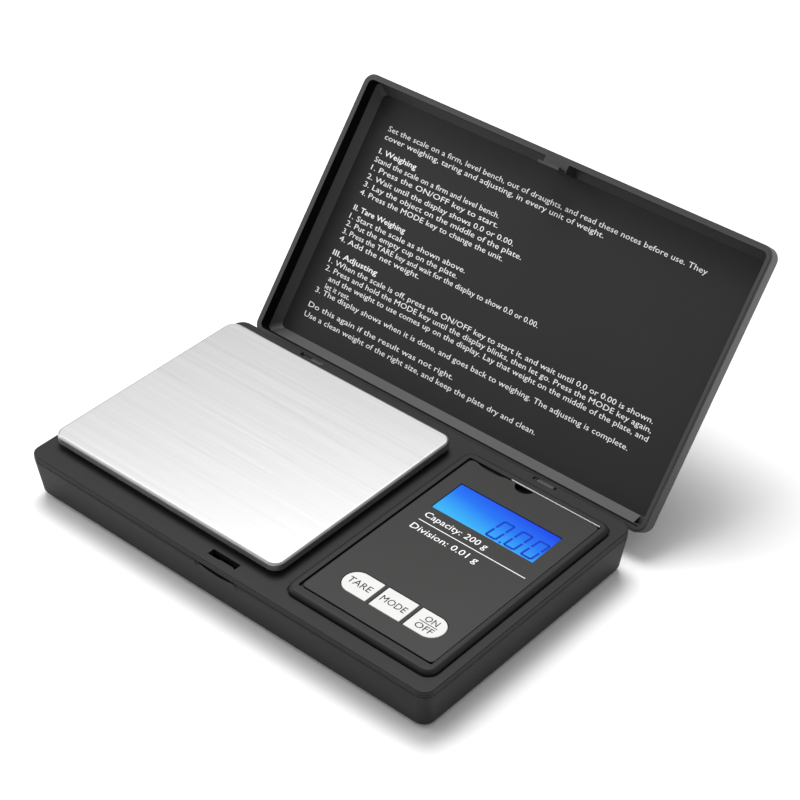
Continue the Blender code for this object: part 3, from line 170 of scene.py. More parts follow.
def raise_face(step, grow=0.0, low=None, high=None):
    """Extrudes the picked face by a step in Z, then widens the new face by grow on each side."""
    bpy.ops.mesh.extrude_region_move(TRANSFORM_OT_translate={"value": (0, 0, step)})
    if grow:
        size = high - low
        factors = ((size.x + 2 * grow) / size.x, (size.y + 2 * grow) / size.y, 1)
        bpy.ops.transform.resize(value=factors, center_override=(low + high) / 2)


def with_modifier(obj, kind, **settings):
    make_active(obj)
    modifier = obj.modifiers.new(kind.lower(), kind)
    for key, value in settings.items():
        setattr(modifier, key, value)
    bpy.ops.object.modifier_apply(modifier=modifier.name)
    return obj


def combine(obj, operation, tools):
    for tool in tools:
        with_modifier(obj, "BOOLEAN", operation=operation, solver="EXACT", object=tool)
        bpy.data.objects.remove(tool, do_unlink=True)
    return obj


def cut(obj, *tools):
    return combine(obj, "DIFFERENCE", tools)


def join(obj, *tools):
    return combine(obj, "UNION", tools)


def clean(obj):
    make_active(obj)
    bpy.ops.object.mode_set(mode="EDIT")
    bpy.ops.mesh.select_all(action="SELECT")
    bpy.ops.mesh.remove_doubles(threshold=2e-6)
    done()
    return obj


def complete(obj, finish, body, replaced=()):
    """Shades the piece, gives it its finish, and hangs it on its body."""
    make_active(obj)
    bpy.ops.object.shade_smooth_by_angle(angle=SMOOTH_ANGLE)
    with_modifier(obj, "WEIGHTED_NORMAL", keep_sharp=True, weight=80)
    obj.data.materials.clear()
    obj.data.materials.append(finish)
    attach(obj, body)
    if replaced:
        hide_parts(*replaced)
    return obj


def copy_of(node, name):
    """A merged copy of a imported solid, for a piece whose shape is already right."""
    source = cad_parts[node]
    obj = bpy.data.objects.new(name, source.data.copy())
    bpy.context.scene.collection.objects.link(obj)
    return clean(obj)


def swing_open(obj):
    """Turns a piece modelled on the shut lid to where the lid stands open."""
    turn = Matrix.Rotation(-LID_ANGLE, 4, "X")
    obj.matrix_world = Matrix.Translation(HINGE) @ turn @ Matrix.Translation(-HINGE)
    return settle(obj)


# ---- Finishes ----------------------------------------------------------------------------------
def start_finish(name):
    finish = bpy.data.materials.new(name)
    finish.use_nodes = True
    nodes = finish.node_tree.nodes
    return finish, finish.node_tree, nodes["Principled BSDF"]


def node(tree, kind, **inputs):
    made = tree.nodes.new(kind)
    for key, value in inputs.items():
        made.inputs[key.replace("_", " ")].default_value = value
    return made


def placed_on(tree, scale=(1, 1, 1), turn=(0, 0, 0)):
    coordinates = tree.nodes.new("ShaderNodeTexCoord")
    mapping = tree.nodes.new("ShaderNodeMapping")
    mapping.inputs["Scale"].default_value = scale
    mapping.inputs["Rotation"].default_value = turn
    tree.links.new(coordinates.outputs["Object"], mapping.inputs["Vector"])
    return mapping.outputs["Vector"]


def noise(tree, vector, scale, detail=2.0, roughness=0.5):
    made = node(tree, "ShaderNodeTexNoise", Scale=scale, Detail=detail, Roughness=roughness)
    tree.links.new(vector, made.inputs["Vector"])
    return made.outputs["Fac"]


def spread(tree, value, low, high, first=0.0, last=1.0):
    """Maps the value between low and high onto first to last."""
    made = node(tree, "ShaderNodeMapRange")
    for key, number in (("From Min", low), ("From Max", high), ("To Min", first), ("To Max", last)):
        made.inputs[key].default_value = number
    tree.links.new(value, made.inputs["Value"])
    return made.outputs["Result"]


def two_tone(tree, value, first, second):
    made = tree.nodes.new("ShaderNodeMix")
    made.data_type = "RGBA"
    made.inputs["A"].default_value = (*first, 1)
    made.inputs["B"].default_value = (*second, 1)
    tree.links.new(value, made.inputs["Factor"])
    return made.outputs["Result"]


def bumped(tree, shader, height, distance, strength=1.0):
    made = node(tree, "ShaderNodeBump", Strength=strength, Distance=distance)
    tree.links.new(height, made.inputs["Height"])
    tree.links.new(made.outputs["Normal"], shader.inputs["Normal"])


def moulded_plastic(name, tone, roughness, grain=0.012 * MM, specular=0.35):
    """Spark-eroded black plastic: a fine grain, a faint cloudiness, and smoother worn places."""
    finish, tree, shader = start_finish(name)
    place = placed_on(tree)
    fine = noise(tree, place, 5200, detail=3, roughness=0.6)
    cloud = noise(tree, place, 55, detail=3)
    darker = tuple(0.86 * c for c in tone)
    lighter = tuple(1.12 * c for c in tone)
    tree.links.new(two_tone(tree, cloud, darker, lighter), shader.inputs["Base Color"])
    rough = spread(tree, fine, 0.3, 0.7, roughness - 0.05, roughness + 0.06)
    tree.links.new(rough, shader.inputs["Roughness"])
    bumped(tree, shader, fine, grain)
    shader.inputs["Specular IOR Level"].default_value = specular
    return finish


def brushed_steel():
    finish, tree, shader = start_finish("brushed_steel")
    streak_place = placed_on(tree, scale=(20, 5200, 300))
    streaks = noise(tree, streak_place, 1.0, detail=4, roughness=0.62)
    wide_place = placed_on(tree, scale=(7, 800, 60))
    bands = noise(tree, wide_place, 1.0, detail=2)
    tint = two_tone(tree, spread(tree, bands, 0.3, 0.7), (0.45, 0.45, 0.45), (0.49, 0.49, 0.49))
    tree.links.new(tint, shader.inputs["Base Color"])
    rough = spread(tree, streaks, 0.25, 0.75, 0.35, 0.46)
    tree.links.new(rough, shader.inputs["Roughness"])
    bumped(tree, shader, streaks, 0.003 * MM, 0.6)
    shader.inputs["Metallic"].default_value = 1.0
    return finish


def plain_metal(name, tone, roughness):
    finish, tree, shader = start_finish(name)
    fine = noise(tree, placed_on(tree), 2400, detail=3)
    darker = tuple(0.9 * c for c in tone)
    tree.links.new(two_tone(tree, fine, darker, tone), shader.inputs["Base Color"])
    rough = spread(tree, fine, 0.3, 0.7, roughness - 0.06, roughness + 0.08)
    tree.links.new(rough, shader.inputs["Roughness"])
    bumped(tree, shader, fine, 0.003 * MM)
    shader.inputs["Metallic"].default_value = 1.0
    return finish


def painted(name, tone, roughness, size=900, specular=0.5):
    finish, tree, shader = start_finish(name)
    fine = noise(tree, placed_on(tree), size, detail=2)
    darker = tuple(0.93 * c for c in tone)
    tree.links.new(two_tone(tree, fine, darker, tone), shader.inputs["Base Color"])
    rough = spread(tree, fine, 0.3, 0.7, roughness - 0.04, roughness + 0.05)
    tree.links.new(rough, shader.inputs["Roughness"])
    bumped(tree, shader, fine, 0.004 * MM)
    shader.inputs["Specular IOR Level"].default_value = specular
    return finish


def lit_display():
    """Blue light through a clear window: deep blue along the back and right, paler to the front."""
    finish, tree, shader = start_finish("lit_display")
    low, high = WINDOW_LOW, WINDOW_HIGH
    split = tree.nodes.new("ShaderNodeSeparateXYZ")
    tree.links.new(placed_on(tree), split.inputs["Vector"])
    across = spread(tree, split.outputs["X"], low.x, high.x)
    depth = spread(tree, split.outputs["Y"], low.y, high.y)
    side = node(tree, "ShaderNodeMath")
    side.operation = "MULTIPLY"
    side.inputs[1].default_value = 0.35
    tree.links.new(across, side.inputs[0])
    total = node(tree, "ShaderNodeMath")
    total.operation = "ADD"
    tree.links.new(side.outputs[0], total.inputs[0])
    tree.links.new(depth, total.inputs[1])
    ramp = tree.nodes.new("ShaderNodeValToRGB")
    ramp.color_ramp.elements[0].position = 0.10
    ramp.color_ramp.elements[0].color = (0.040, 0.50, 1.0, 1)
    ramp.color_ramp.elements[1].position = 0.95
    ramp.color_ramp.elements[1].color = (0.003, 0.060, 0.90, 1)
    middle = ramp.color_ramp.elements.new(0.55)
    middle.color = (0.008, 0.19, 0.98, 1)
    scaled = spread(tree, total.outputs[0], 0.0, 1.35)
    tree.links.new(scaled, ramp.inputs["Fac"])
    tree.links.new(ramp.outputs["Color"], shader.inputs["Emission Color"])
    shader.inputs["Base Color"].default_value = (0.004, 0.010, 0.030, 1)
    shader.inputs["Emission Strength"].default_value = 0.90
    shader.inputs["Roughness"].default_value = 0.16
    shader.inputs["Specular IOR Level"].default_value = 0.15
    return finish


CASE = moulded_plastic("case_plastic", (0.0090, 0.0090, 0.0093), 0.50, specular=0.23)
DECK = moulded_plastic("deck_plastic", (0.0120, 0.0120, 0.0123), 0.48, specular=0.20)
LID = moulded_plastic("lid_plastic", (0.0290, 0.0290, 0.0295), 0.55, specular=0.50)
# Painted shade: the near-black finish of the thin sheet laid on the lid's upright inner walls
PAINTED_WALL_SHADE = moulded_plastic("painted_wall_shade", (0.0030, 0.0030, 0.0030), 0.60, specular=0.10)
LID_FLAT = moulded_plastic("lid_flat_plastic", (0.0125, 0.0125, 0.0128), 0.55, specular=0.28)
OVERLAY = moulded_plastic(
    "overlay_film", (0.0175, 0.0175, 0.0168), 0.40, grain=0.006 * MM, specular=0.24
)
KEY = painted("key_white", (0.62, 0.62, 0.61), 0.42)
# EDGE is a painted highlight: the light finish of the thin strip that stands for the glint along the
# panel recess's back edge
EDGE = painted("painted_glint", (0.85, 0.85, 0.85), 0.30)
PRINT_WHITE = painted("print_white", (0.86, 0.86, 0.86), 0.60)
PRINT_DARK = painted("print_dark", (0.012, 0.012, 0.013), 0.60, specular=0.2)
SEGMENT = painted("segment_blue", (0.002, 0.040, 0.42), 0.30, specular=0.1)
STEEL = brushed_steel()
PIN = plain_metal("turned_steel", (0.55, 0.56, 0.57), 0.30)
PLATED = plain_metal("plated_spring", (0.68, 0.66, 0.60), 0.24)
ALUMINIUM = plain_metal("milled_aluminium", (0.77, 0.78, 0.79), 0.36)
RUBBER = moulded_plastic("foot_rubber", (0.016, 0.016, 0.016), 0.82, specular=0.2)
CELL = painted("cell_wrap", (0.05, 0.16, 0.34), 0.28)
BOARD = painted("board_mask", (0.02, 0.13, 0.05), 0.36)
CHIP = painted("chip_epoxy", (0.012, 0.012, 0.012), 0.25)
POTTING = painted("gauge_potting", (0.86, 0.85, 0.80), 0.55)
GUIDE = painted("light_guide", (0.45, 0.65, 0.92), 0.30)
ZEBRA = painted("zebra_rubber", (0.55, 0.30, 0.30), 0.70)
RED = painted("lead_red", (0.55, 0.02, 0.02), 0.45)
BLACK = painted("lead_black", (0.02, 0.02, 0.02), 0.45)
GREY = painted("cable_grey", (0.35, 0.35, 0.36), 0.50)


# ---- Case and deck -----------------------------------------------------------------------------
def make_deck():
    """The top plate of the case, with a fine step round its side and the cell hump under the pan."""
    low, high = Vector((LEFT, FRONT, 0)), Vector((RIGHT, BACK, 0))
    deck = block("top_deck", (LEFT, FRONT, DECK_UNDER), (RIGHT, BACK, DECK_UNDER + DECK_STEP))
    round_edges(deck, upright, CORNER, 10)
    pick(deck, "FACE", facing_up(DECK_UNDER + DECK_STEP))
    raise_face(0.0001 * MM, -0.14 * MM, low, high)
    raise_face(0.13 * MM)
    raise_face(0.0001 * MM, 0.14 * MM, low, high)
    raise_face(DECK_TOP - DECK_UNDER - 0.6302 * MM)
    done()
    round_edges(deck, at_height(DECK_TOP), 0.32 * MM, 4)
    hump_low, hump_high = hump_box()
    hump = block("cell_hump", hump_low, hump_high)
    round_edges(hump, upright, 1.0 * MM, 6)
    round_edges(hump, at_height(hump_high.z), 0.3 * MM, 3)
    join(deck, hump)
    recess = block(
        "housing_recess",
        (HOUSING_LOW.x - 0.3 * MM, HOUSING_LOW.y - 0.3 * MM, DECK_TOP - 0.5 * MM),
        (HOUSING_HIGH.x + 0.3 * MM, HOUSING_HIGH.y + 0.3 * MM, DECK_TOP + 1 * MM),
    )
    round_edges(recess, upright, CORNER + 0.3 * MM, 10)
    slot = block(
        "latch_slot",
        (-4.6 * MM, FRONT + 2.25 * MM, DECK_UNDER - 1 * MM),
        (4.1 * MM, FRONT + 4.25 * MM, DECK_TOP + 1 * MM),
    )
    step = block(
        "hinge_step",
        (-BARREL_END - 1 * MM, BACK - 1.1 * MM, DECK_TOP - 0.3 * MM),
        (BARREL_END + 1 * MM, BACK + 1 * MM, DECK_TOP + 1 * MM),
    )
    cut(deck, recess, slot, step)
    for end in (-1, 1):
        low_x, high_x = sorted((end * BARREL_END, end * (BARREL_END + 7.2 * MM)))
        notch = block(
            "ear_notch",
            (low_x, BACK - 1.5 * MM, DECK_UNDER - 1 * MM),
            (high_x, BACK + 1 * MM, DECK_TOP + 1 * MM),
        )
        cut(deck, notch)
    ledge = block(
        "latch_ledge",
        (-1.1 * MM, FRONT + 2.0 * MM, DECK_UNDER + 0.05 * MM),
        (3.3 * MM, FRONT + 2.75 * MM, DECK_TOP - 0.15 * MM),
    )
    round_edges(ledge, at_height(DECK_TOP - 0.15 * MM), 0.15 * MM, 2)
    join(deck, ledge)
    return complete(clean(deck), DECK, "base", ["upper_deck"])


def back_edge(obj, z):
    back = max(v.co.y for v in obj.data.vertices)
    return lambda a, b: at_height(z)(a, b) and min(a.y, b.y) > back - 1e-6


def hump_box():
    low, high = (Vector(c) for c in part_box("battery_door"))
    return (
        Vector((low.x - 1.1 * MM, low.y - 0.7 * MM, DECK_UNDER + 0.5 * MM)),
        Vector((high.x + 1.1 * MM, low.y + 22.4 * MM, DECK_HIGH.z)),
    )


def make_case():
    complete(copy_of("lower_case", "case_tray"), CASE, "base", ["lower_case"])
    complete(
        copy_of("battery_door", "battery_cover"),
        CASE,
        "battery_door",
        ["battery_door"],
    )
    complete(
        copy_of("latch_button", "latch_push"), CASE, "latch_button", ["latch_button"]
    )


def make_feet():
    for side in ("front_left", "front_right", "back_left", "back_right"):
        low, high = (Vector(c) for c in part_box("foot_" + side))
        middle = (low + high) / 2
        foot = rod(
            "rubber_foot_" + side,
            (middle.x, middle.y, low.z),
            (middle.x, middle.y, high.z),
            (high.x - low.x) / 2,
            sides=48,
        )
        round_edges(foot, at_height(low.z), 0.3 * MM, 3)
        complete(foot, RUBBER, "base", ["foot_" + side])


# ---- Display panel and keys --------------------------------------------------------------------
def make_housing():
    housing = block("panel_housing", HOUSING_LOW, HOUSING_HIGH)
    round_edges(housing, upright, CORNER, 12)
    round_edges(housing, at_height(HOUSING_HIGH.z), 1.15 * MM, 7)
    recess_low = Vector((OVERLAY_LOW.x - 0.5 * MM, OVERLAY_LOW.y - 0.6 * MM, 0))
    recess_high = Vector((OVERLAY_HIGH.x + 0.25 * MM, OVERLAY_HIGH.y + 0.25 * MM, 0))
    ledge = HOUSING_HIGH.z - 0.8 * MM
    recess = block(
        "overlay_recess",
        (recess_low.x, recess_low.y, ledge),
        (recess_high.x, recess_high.y, HOUSING_HIGH.z + 1 * MM),
    )
    round_edges(recess, upright, 0.4 * MM, 3)
    cut(housing, recess)
    cut(housing, back_notch(HOUSING_LOW.z - 1 * MM, ledge + 0.1 * MM))
    complete(clean(housing), DECK, "base", ["display_housing"])
    # A thin light strip on the recess's back wall, just above the film: a painted highlight standing
    # for the glint of light along that edge
    wall = OVERLAY_HIGH.y + 0.25 * MM
    edge = block(
        "painted_glint_strip",
        (OVERLAY_LOW.x + 12.4 * MM, wall - 0.05 * MM, HOUSING_HIGH.z - 0.27 * MM),
        (OVERLAY_HIGH.x - 0.2 * MM, wall + 0.05 * MM, HOUSING_HIGH.z + 0.02 * MM),
    )
    complete(edge, EDGE, "base")


def back_notch(bottom, top):
    x = OVERLAY_LOW.x + 16.5 * MM
    y = OVERLAY_HIGH.y + 0.6 * MM
    return rod("thumb_notch", (x, y, bottom), (x, y, top), 2.8 * MM)


def key_centres():
    for name in ("tare", "mode", "power"):
        low, high = (Vector(c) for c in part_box(name + "_key"))
        yield name, low, high


def key_cap(name, low, high, grow, bottom, top):
    """A key's outline as a block; the outer ends of the first and last key are round."""
    flange = 0.35 * MM
    edge = flange - grow
    cap = block(name, (low.x + edge, low.y + edge, bottom), (high.x - edge, high.y - edge, top))
    depth = high.y - low.y - 2 * edge
    outer = {"tare": low.x + edge, "power": high.x - edge}.get(name.split("_")[0])
    if outer is not None:
        round_edges(
            cap, lambda a, b: upright(a, b) and abs(a.x - outer) < 1e-6, 0.4999 * depth, 16
        )
    return cap


def make_overlay():
    overlay = block("panel_film", OVERLAY_LOW, OVERLAY_HIGH)
    round_edges(overlay, upright, 1.2 * MM, 8)
    round_edges(overlay, at_height(OVERLAY_HIGH.z), 0.14 * MM, 3)
    bottom, top = OVERLAY_LOW.z - 1 * MM, OVERLAY_HIGH.z + 1 * MM
    edge = 0.2 * MM
    window = block(
        "window_opening",
        (WINDOW_LOW.x - edge, WINDOW_LOW.y - edge, bottom),
        (WINDOW_HIGH.x + edge, WINDOW_HIGH.y + edge, top),
    )
    scallop_x = OVERLAY_LOW.x + 6.5 * MM
    scallop_y = OVERLAY_HIGH.y + 12.2 * MM
    scallop = rod(
        "scallop",
        (scallop_x, scallop_y, bottom),
        (scallop_x, scallop_y, top),
        13.1 * MM,
        sides=160,
    )
    cut(overlay, window, back_notch(bottom, top), scallop)
    for name, low, high in key_centres():
        cut(overlay, key_cap(name + "_opening", low, high, 0.2 * MM, bottom, top))
    return complete(clean(overlay), OVERLAY, "base", ["panel_overlay"])


def make_keys():
    for name, low, high in key_centres():
        cap = key_cap(name + "_cap", low, high, 0.0, OVERLAY_LOW.z - 0.3 * MM, high.z)
        round_edges(cap, at_height(high.z), 0.18 * MM, 3)
        complete(cap, KEY, name + "_key", [name + "_key"])


def make_window():
    window = block("display_window", WINDOW_LOW, WINDOW_HIGH)
    round_edges(window, upright, 0.25 * MM, 3)
    round_edges(window, at_height(WINDOW_HIGH.z), 0.06 * MM, 2)
    return complete(window, lit_display(), "base", ["lcd_window"])


# ---- Pan ---------------------------------------------------------------------------------------
def make_pan():
    """Pressed sheet: the block loses its underside, and the walls get the sheet's thickness."""
    pan = block("steel_pan", PAN_LOW, PAN_HIGH)
    round_edges(pan, upright, CORNER, 14)
    round_edges(pan, at_height(PAN_HIGH.z), 0.75 * MM, 6)
    pick(pan, "FACE", facing_down(PAN_LOW.z))
    bpy.ops.mesh.delete(type="FACE")
    done()
    with_modifier(pan, "SOLIDIFY", thickness=0.6 * MM, offset=-1, use_even_offset=True)
    return complete(pan, STEEL, "pan", ["weighing_pan"])


# ---- Lid ---------------------------------------------------------------------------------------
def make_lid():
    lip = 0.12 * MM  # a fine step along the outside of the rim
    lip_width = 0.55 * MM
    lid = block("lid_cover", (LEFT, FRONT, LID_RIM + lip), (RIGHT, BACK, LID_TOP))
    round_edges(lid, upright, CORNER, 12)
    pick(lid, "FACE", facing_up(LID_TOP))
    width = RIGHT - LEFT
    narrower = (width - 2 * LID_LEAN) / width
    bpy.ops.transform.resize(value=(narrower, 1, 1), center_override=(0, 0, LID_TOP))
    done()
    round_edges(lid, at_height(LID_TOP), 1.3 * MM, 8)
    pick(lid, "FACE", facing_down(LID_RIM + lip))
    bpy.ops.mesh.inset(thickness=lip_width)
    bpy.ops.mesh.extrude_region_move(TRANSFORM_OT_translate={"value": (0, 0, -lip)})
    bpy.ops.mesh.inset(thickness=LID_RIM_WIDTH - lip_width)
    raise_face(LID_SLOPE - LID_RIM)
    inner_low = Vector((LEFT + LID_RIM_WIDTH, FRONT + LID_RIM_WIDTH, 0))
    inner_high = Vector((RIGHT - LID_RIM_WIDTH, BACK - LID_RIM_WIDTH, 0))
    raise_face(LID_CHAMFER, -LID_CHAMFER, inner_low, inner_high)
    done()
    pocket = block(
        "corner_pocket",
        (RIGHT - 5.4 * MM, inner_high.y - LID_CHAMFER, LID_RIM - 1 * MM),
        (inner_high.x - 0.6 * MM, inner_high.y - 0.1 * MM, LID_FLOOR - 0.05 * MM),
    )
    cut(lid, pocket)
    hook_root = block(
        "hook_root",
        (-3.8 * MM, FRONT + 0.8 * MM, LID_RIM),
        (3.4 * MM, FRONT + 3.75 * MM, LID_FLOOR + 0.4 * MM),
    )
    join(lid, hook_root)
    hook_low = DECK_UNDER - 1.3 * MM
    stem = block(
        "hook_stem",
        (-3.4 * MM, FRONT + 3.15 * MM, hook_low),
        (3.0 * MM, FRONT + 3.75 * MM, LID_RIM + 1 * MM),
    )
    barb = block(
        "hook_barb",
        (-0.8 * MM, FRONT + 2.9 * MM, hook_low),
        (3.0 * MM, FRONT + 3.35 * MM, DECK_UNDER - 0.2 * MM),
    )
    join(stem, barb)
    join(lid, stem)
    ear_spans = [ear_span(end) for end in (-1, 1)]
    for span in ear_spans:
        join(lid, hinge_ear(span))
    swing_open(clean(lid))
    for low_x, high_x in ear_spans:
        heel = block(
            "ear_heel",
            (low_x, HINGE.y - 1.75 * MM, HINGE.z - 1.6 * MM),
            (high_x, HINGE.y - 0.7 * MM, HINGE.z),
        )
        join(lid, heel)
    return complete(clean(lid), LID, "lid", ["lid_shell"])


def make_lid_flat():
    """The smooth, darker flat inside the lid that carries the print."""
    edge = LID_RIM_WIDTH + LID_CHAMFER
    flat = block(
        "lid_flat",
        (LEFT + edge, FRONT + edge, LID_FLOOR - 0.002 * MM),
        (RIGHT - edge, BACK - edge, LID_FLOOR + 0.3 * MM),
    )
    complete(swing_open(flat), LID_FLAT, "lid")


def make_painted_shade_liner():
    """A thin near-black sheet on the upright inner walls of the lid, which the light hardly reaches:
    painted shade, not a part of the lid.
    """
    rim = LID_RIM_WIDTH
    low = (LEFT + rim, FRONT + rim, LID_RIM + 0.15 * MM)
    shade_sheet = block("painted_shade_liner", low, (RIGHT - rim, BACK - rim, LID_SLOPE))
    round_edges(shade_sheet, upright, CORNER - rim, 8)
    pick(shade_sheet, "FACE", lambda centre, normal: abs(normal.z) > 0.9)
    bpy.ops.mesh.delete(type="FACE")
    done()
    with_modifier(shade_sheet, "SOLIDIFY", thickness=0.06 * MM, offset=0, use_even_offset=True)
    complete(swing_open(shade_sheet), PAINTED_WALL_SHADE, "lid")


def ear_span(end):
    inner = end * (BARREL_END + 0.3 * MM)
    return sorted((inner, inner + end * 4.8 * MM))


def hinge_ear(span):
    """An arm from the lid's back wall round the hinge pin."""
    low_x, high_x = span
    y, z = HINGE.y, HINGE.z
    ear = block(
        "hinge_ear", (low_x, y - 1.45 * MM, z), (high_x, y + 0.6 * MM, z + 9.0 * MM)
    )
    round_edges(ear, back_edge(ear, z + 9.0 * MM), 0.8 * MM, 4)
    barrel = rod("ear_barrel", (low_x, y, z), (high_x, y, z), 1.75 * MM, sides=48)
    join(ear, barrel)
    inner = min(span, key=abs)
    along = math.copysign(1, inner)
    bore_end = inner + along * 4.0 * MM
    bore = rod("ear_bore", (inner - along * MM, y, z), (bore_end, y, z), 0.85 * MM, sides=48)
    return cut(ear, bore)


# Each line: its left and right ends, its distance behind the middle, in mm, and its words.
PRINTED_LINES = (
    (
        -54.2,
        47.0,
        -24.2,
        "Set the scale on a firm, level bench, out of draughts, "
        "and read these notes before use. They",
    ),
    (-54.2, 17.3, -21.95, "cover weighing, taring and adjusting, in every unit of weight."),
    (-54.2, -12.4, -15.6, "Stand the scale on a firm and level bench."),
    (-54.2, -11.5, -13.3, "1. Press the ON/OFF key to start."),
    (-54.2, -5.2, -10.8, "2. Wait until the display shows 0.0 or 0.00."),
    (-54.2, -1.4, -8.55, "3. Lay the object on the middle of the plate."),
    (-54.2, -6.2, -6.25, "4. Press the MODE key to change the unit."),
    (-54.2, -14.8, 0.55, "1. Start the scale as shown above."),
    (-54.2, -16.3, 2.65, "2. Put the empty cup on the plate."),
    (-54.2, 11.0, 4.9, "3. Press the TARE key and wait for the display to show 0.0 or 0.00."),
    (-54.2, -26.7, 7.0, "4. Add the net weight."),
    (
        -54.4,
        50.7,
        13.35,
        "1. When the scale is off, press the ON/OFF key to "
        "start it, and wait until 0.0 or 0.00 is shown.",
    ),
    (
        -54.4,
        51.3,
        15.55,
        "2. Press and hold the MODE key until the display "
        "blinks, then let go. Press the MODE key again,",
    ),
    (
        -52.1,
        51.4,
        17.8,
        "and the weight to use comes up on the display. "
        "Lay that weight on the middle of the plate, and",
    ),
    (-52.1, -43.6, 20.0, "let it rest."),
    (
        -54.5,
        47.6,
        21.85,
        "3. The display shows when it is done, and goes "
        "back to weighing. The adjusting is complete.",
    ),
    (-54.6, -5.0, 26.1, "Do this again if the result was not right."),
    (-54.6, 22.9, 28.85, "Use a clean weight of the right size, and keep the plate dry and clean."),
)
PRINTED_HEADINGS = (
    (-54.0, -41.3, -18.0, "I. Weighing"),
    (-54.1, -36.4, -1.9, "II. Tare Weighing"),
    (-54.3, -38.9, 11.05, "III. Adjusting"),
)


def written(text, height, bold, name="lettering"):
    """One line of lettering as a thin solid, its baseline's left end at the origin."""
    bpy.ops.object.select_all(action="DESELECT")
    bpy.ops.object.text_add(location=(0, 0, 0))
    obj = bpy.context.object
    obj.data.body = text
    obj.data.size = height
    obj.data.offset = bold
    obj.data.resolution_u = 2
    obj.data.extrude = 0.008 * MM
    make_active(obj)
    bpy.ops.object.convert(target="MESH")
    obj = bpy.context.object
    obj.name = name
    left = min(v.co.x for v in obj.data.vertices)
    right = max(v.co.x for v in obj.data.vertices)
    return obj, left, right


def joined(pieces, name):
    bpy.ops.object.select_all(action="DESELECT")
    for piece in pieces:
        piece.select_set(True)
    bpy.context.view_layer.objects.active = pieces[0]
    bpy.ops.object.join()
    return named(name)


def flat_finish(obj, finish, body):
    obj.data.materials.clear()
    obj.data.materials.append(finish)
    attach(obj, body)
    return obj


def make_lid_print():
    """How to use the scale, printed on the flat of the lid."""
    groups = (
        ("lid_notes", PRINTED_LINES, -0.004 * MM),
        ("lid_headings", PRINTED_HEADINGS, 0.025 * MM),
    )
    for name, lines, bold in groups:
        pieces = []
        for start, end, y, text in lines:
            line, left, right = written(text, 2.05 * MM, bold)
            squeeze = (end - start) * MM / (right - left)
            line.rotation_euler = (math.pi, 0, 0)
            line.scale = (squeeze, 1, 1)
            line.location = (
                start * MM - left * squeeze,
                MIDDLE_Y + y * MM,
                LID_FLOOR - PRINT_LIFT,
            )
            pieces.append(settle(line))
        flat_finish(swing_open(joined(pieces, name)), PRINT_WHITE, "lid")


# ---- Lettering and digits on the panel ---------------------------------------------------------
def panel_line(text, start, end, y, z, height, bold=0.0):
    line, left, right = written(text, height, bold)
    squeeze = (end - start) / (right - left)
    line.scale = (squeeze, 1, 1)
    line.location = (start - left * squeeze, y, z)
    return settle(line)


def make_panel_print():
    z = OVERLAY_HIGH.z + PRINT_LIFT
    start = OVERLAY_LOW.x + 5.0 * MM
    rule = block(
        "rule",
        (OVERLAY_LOW.x + 5.0 * MM, MIDDLE_Y + 5.87 * MM, z - 0.008 * MM),
        (OVERLAY_LOW.x + 36.7 * MM, MIDDLE_Y + 6.09 * MM, z + 0.008 * MM),
    )
    pieces = (
        rule,
        panel_line("Capacity: 200 g", start, start + 18.6 * MM, MIDDLE_Y + 7.6 * MM, z, 2.75 * MM),
        panel_line("Division: 0.01 g", start, start + 20.0 * MM, MIDDLE_Y + 2.5 * MM, z, 2.75 * MM),
    )
    flat_finish(joined(pieces, "panel_print"), PRINT_WHITE, "base")


def centred_line(text, centre, y, z, width, height, bold):
    return panel_line(text, centre - width / 2, centre + width / 2, y, z, height, bold)


def make_key_legends():
    legends = {
        "tare": (("TARE", -1.0, 6.7, 2.85),),
        "mode": (("MODE", -1.0, 7.2, 2.85),),
        "power": (("ON", 0.45, 3.7, 2.6), ("OFF", -2.35, 5.0, 2.6)),
    }
    for name, low, high in key_centres():
        centre = (low + high) / 2
        z = high.z + PRINT_LIFT
        pieces = []
        for text, y, width, height in legends[name]:
            pieces.append(
                centred_line(
                    text, centre.x, centre.y + y * MM, z, width * MM, height * MM, 0.002 * MM
                )
            )
        if name == "power":
            pieces.append(
                block(
                    "bar",
                    (centre.x - 2.6 * MM, centre.y - 0.13 * MM, z - 0.008 * MM),
                    (centre.x + 2.6 * MM, centre.y + 0.07 * MM, z + 0.008 * MM),
                )
            )
        flat_finish(joined(pieces, name + "_legend"), PRINT_DARK, name + "_key")


def make_digits():
    """Seven-segment zeros at the right of the window, and the point after the first."""
    z = WINDOW_HIGH.z + 0.01 * MM
    width, height, stroke, lean = 3.5 * MM, 7.0 * MM, 0.62 * MM, 0.10
    pieces = []
    for left in (39.7, 45.1, 50.1):
        pieces += zero(left * MM, MIDDLE_Y + 11.75 * MM, z, width, height, stroke, lean)
    pieces.append(
        block(
            "point",
            (44.0 * MM, MIDDLE_Y + 11.7 * MM, z - 0.006 * MM),
            (44.6 * MM, MIDDLE_Y + 12.3 * MM, z + 0.006 * MM),
        )
    )
    flat_finish(joined(pieces, "display_digits"), SEGMENT, "base")


def zero(left, bottom, z, width, height, stroke, lean):
    half = height / 2
    gap = 0.12 * MM
    bars = []
    for base in (bottom, bottom + height - stroke):
        bars.append((left + gap + stroke / 2, base, width - 2 * gap - stroke, stroke))
    for x in (left, left + width - stroke):
        for base in (bottom, bottom + half):
            bars.append((x, base + gap + stroke / 4, stroke, half - 2 * gap - stroke / 2))
    made = []
    for x, y, across, along in bars:
        bar = block("segment", (x, y, z - 0.006 * MM), (x + across, y + along, z + 0.006 * MM))
        for vertex in bar.data.vertices:
            vertex.co.x += lean * (vertex.co.y - bottom)
        made.append(bar)
    return made


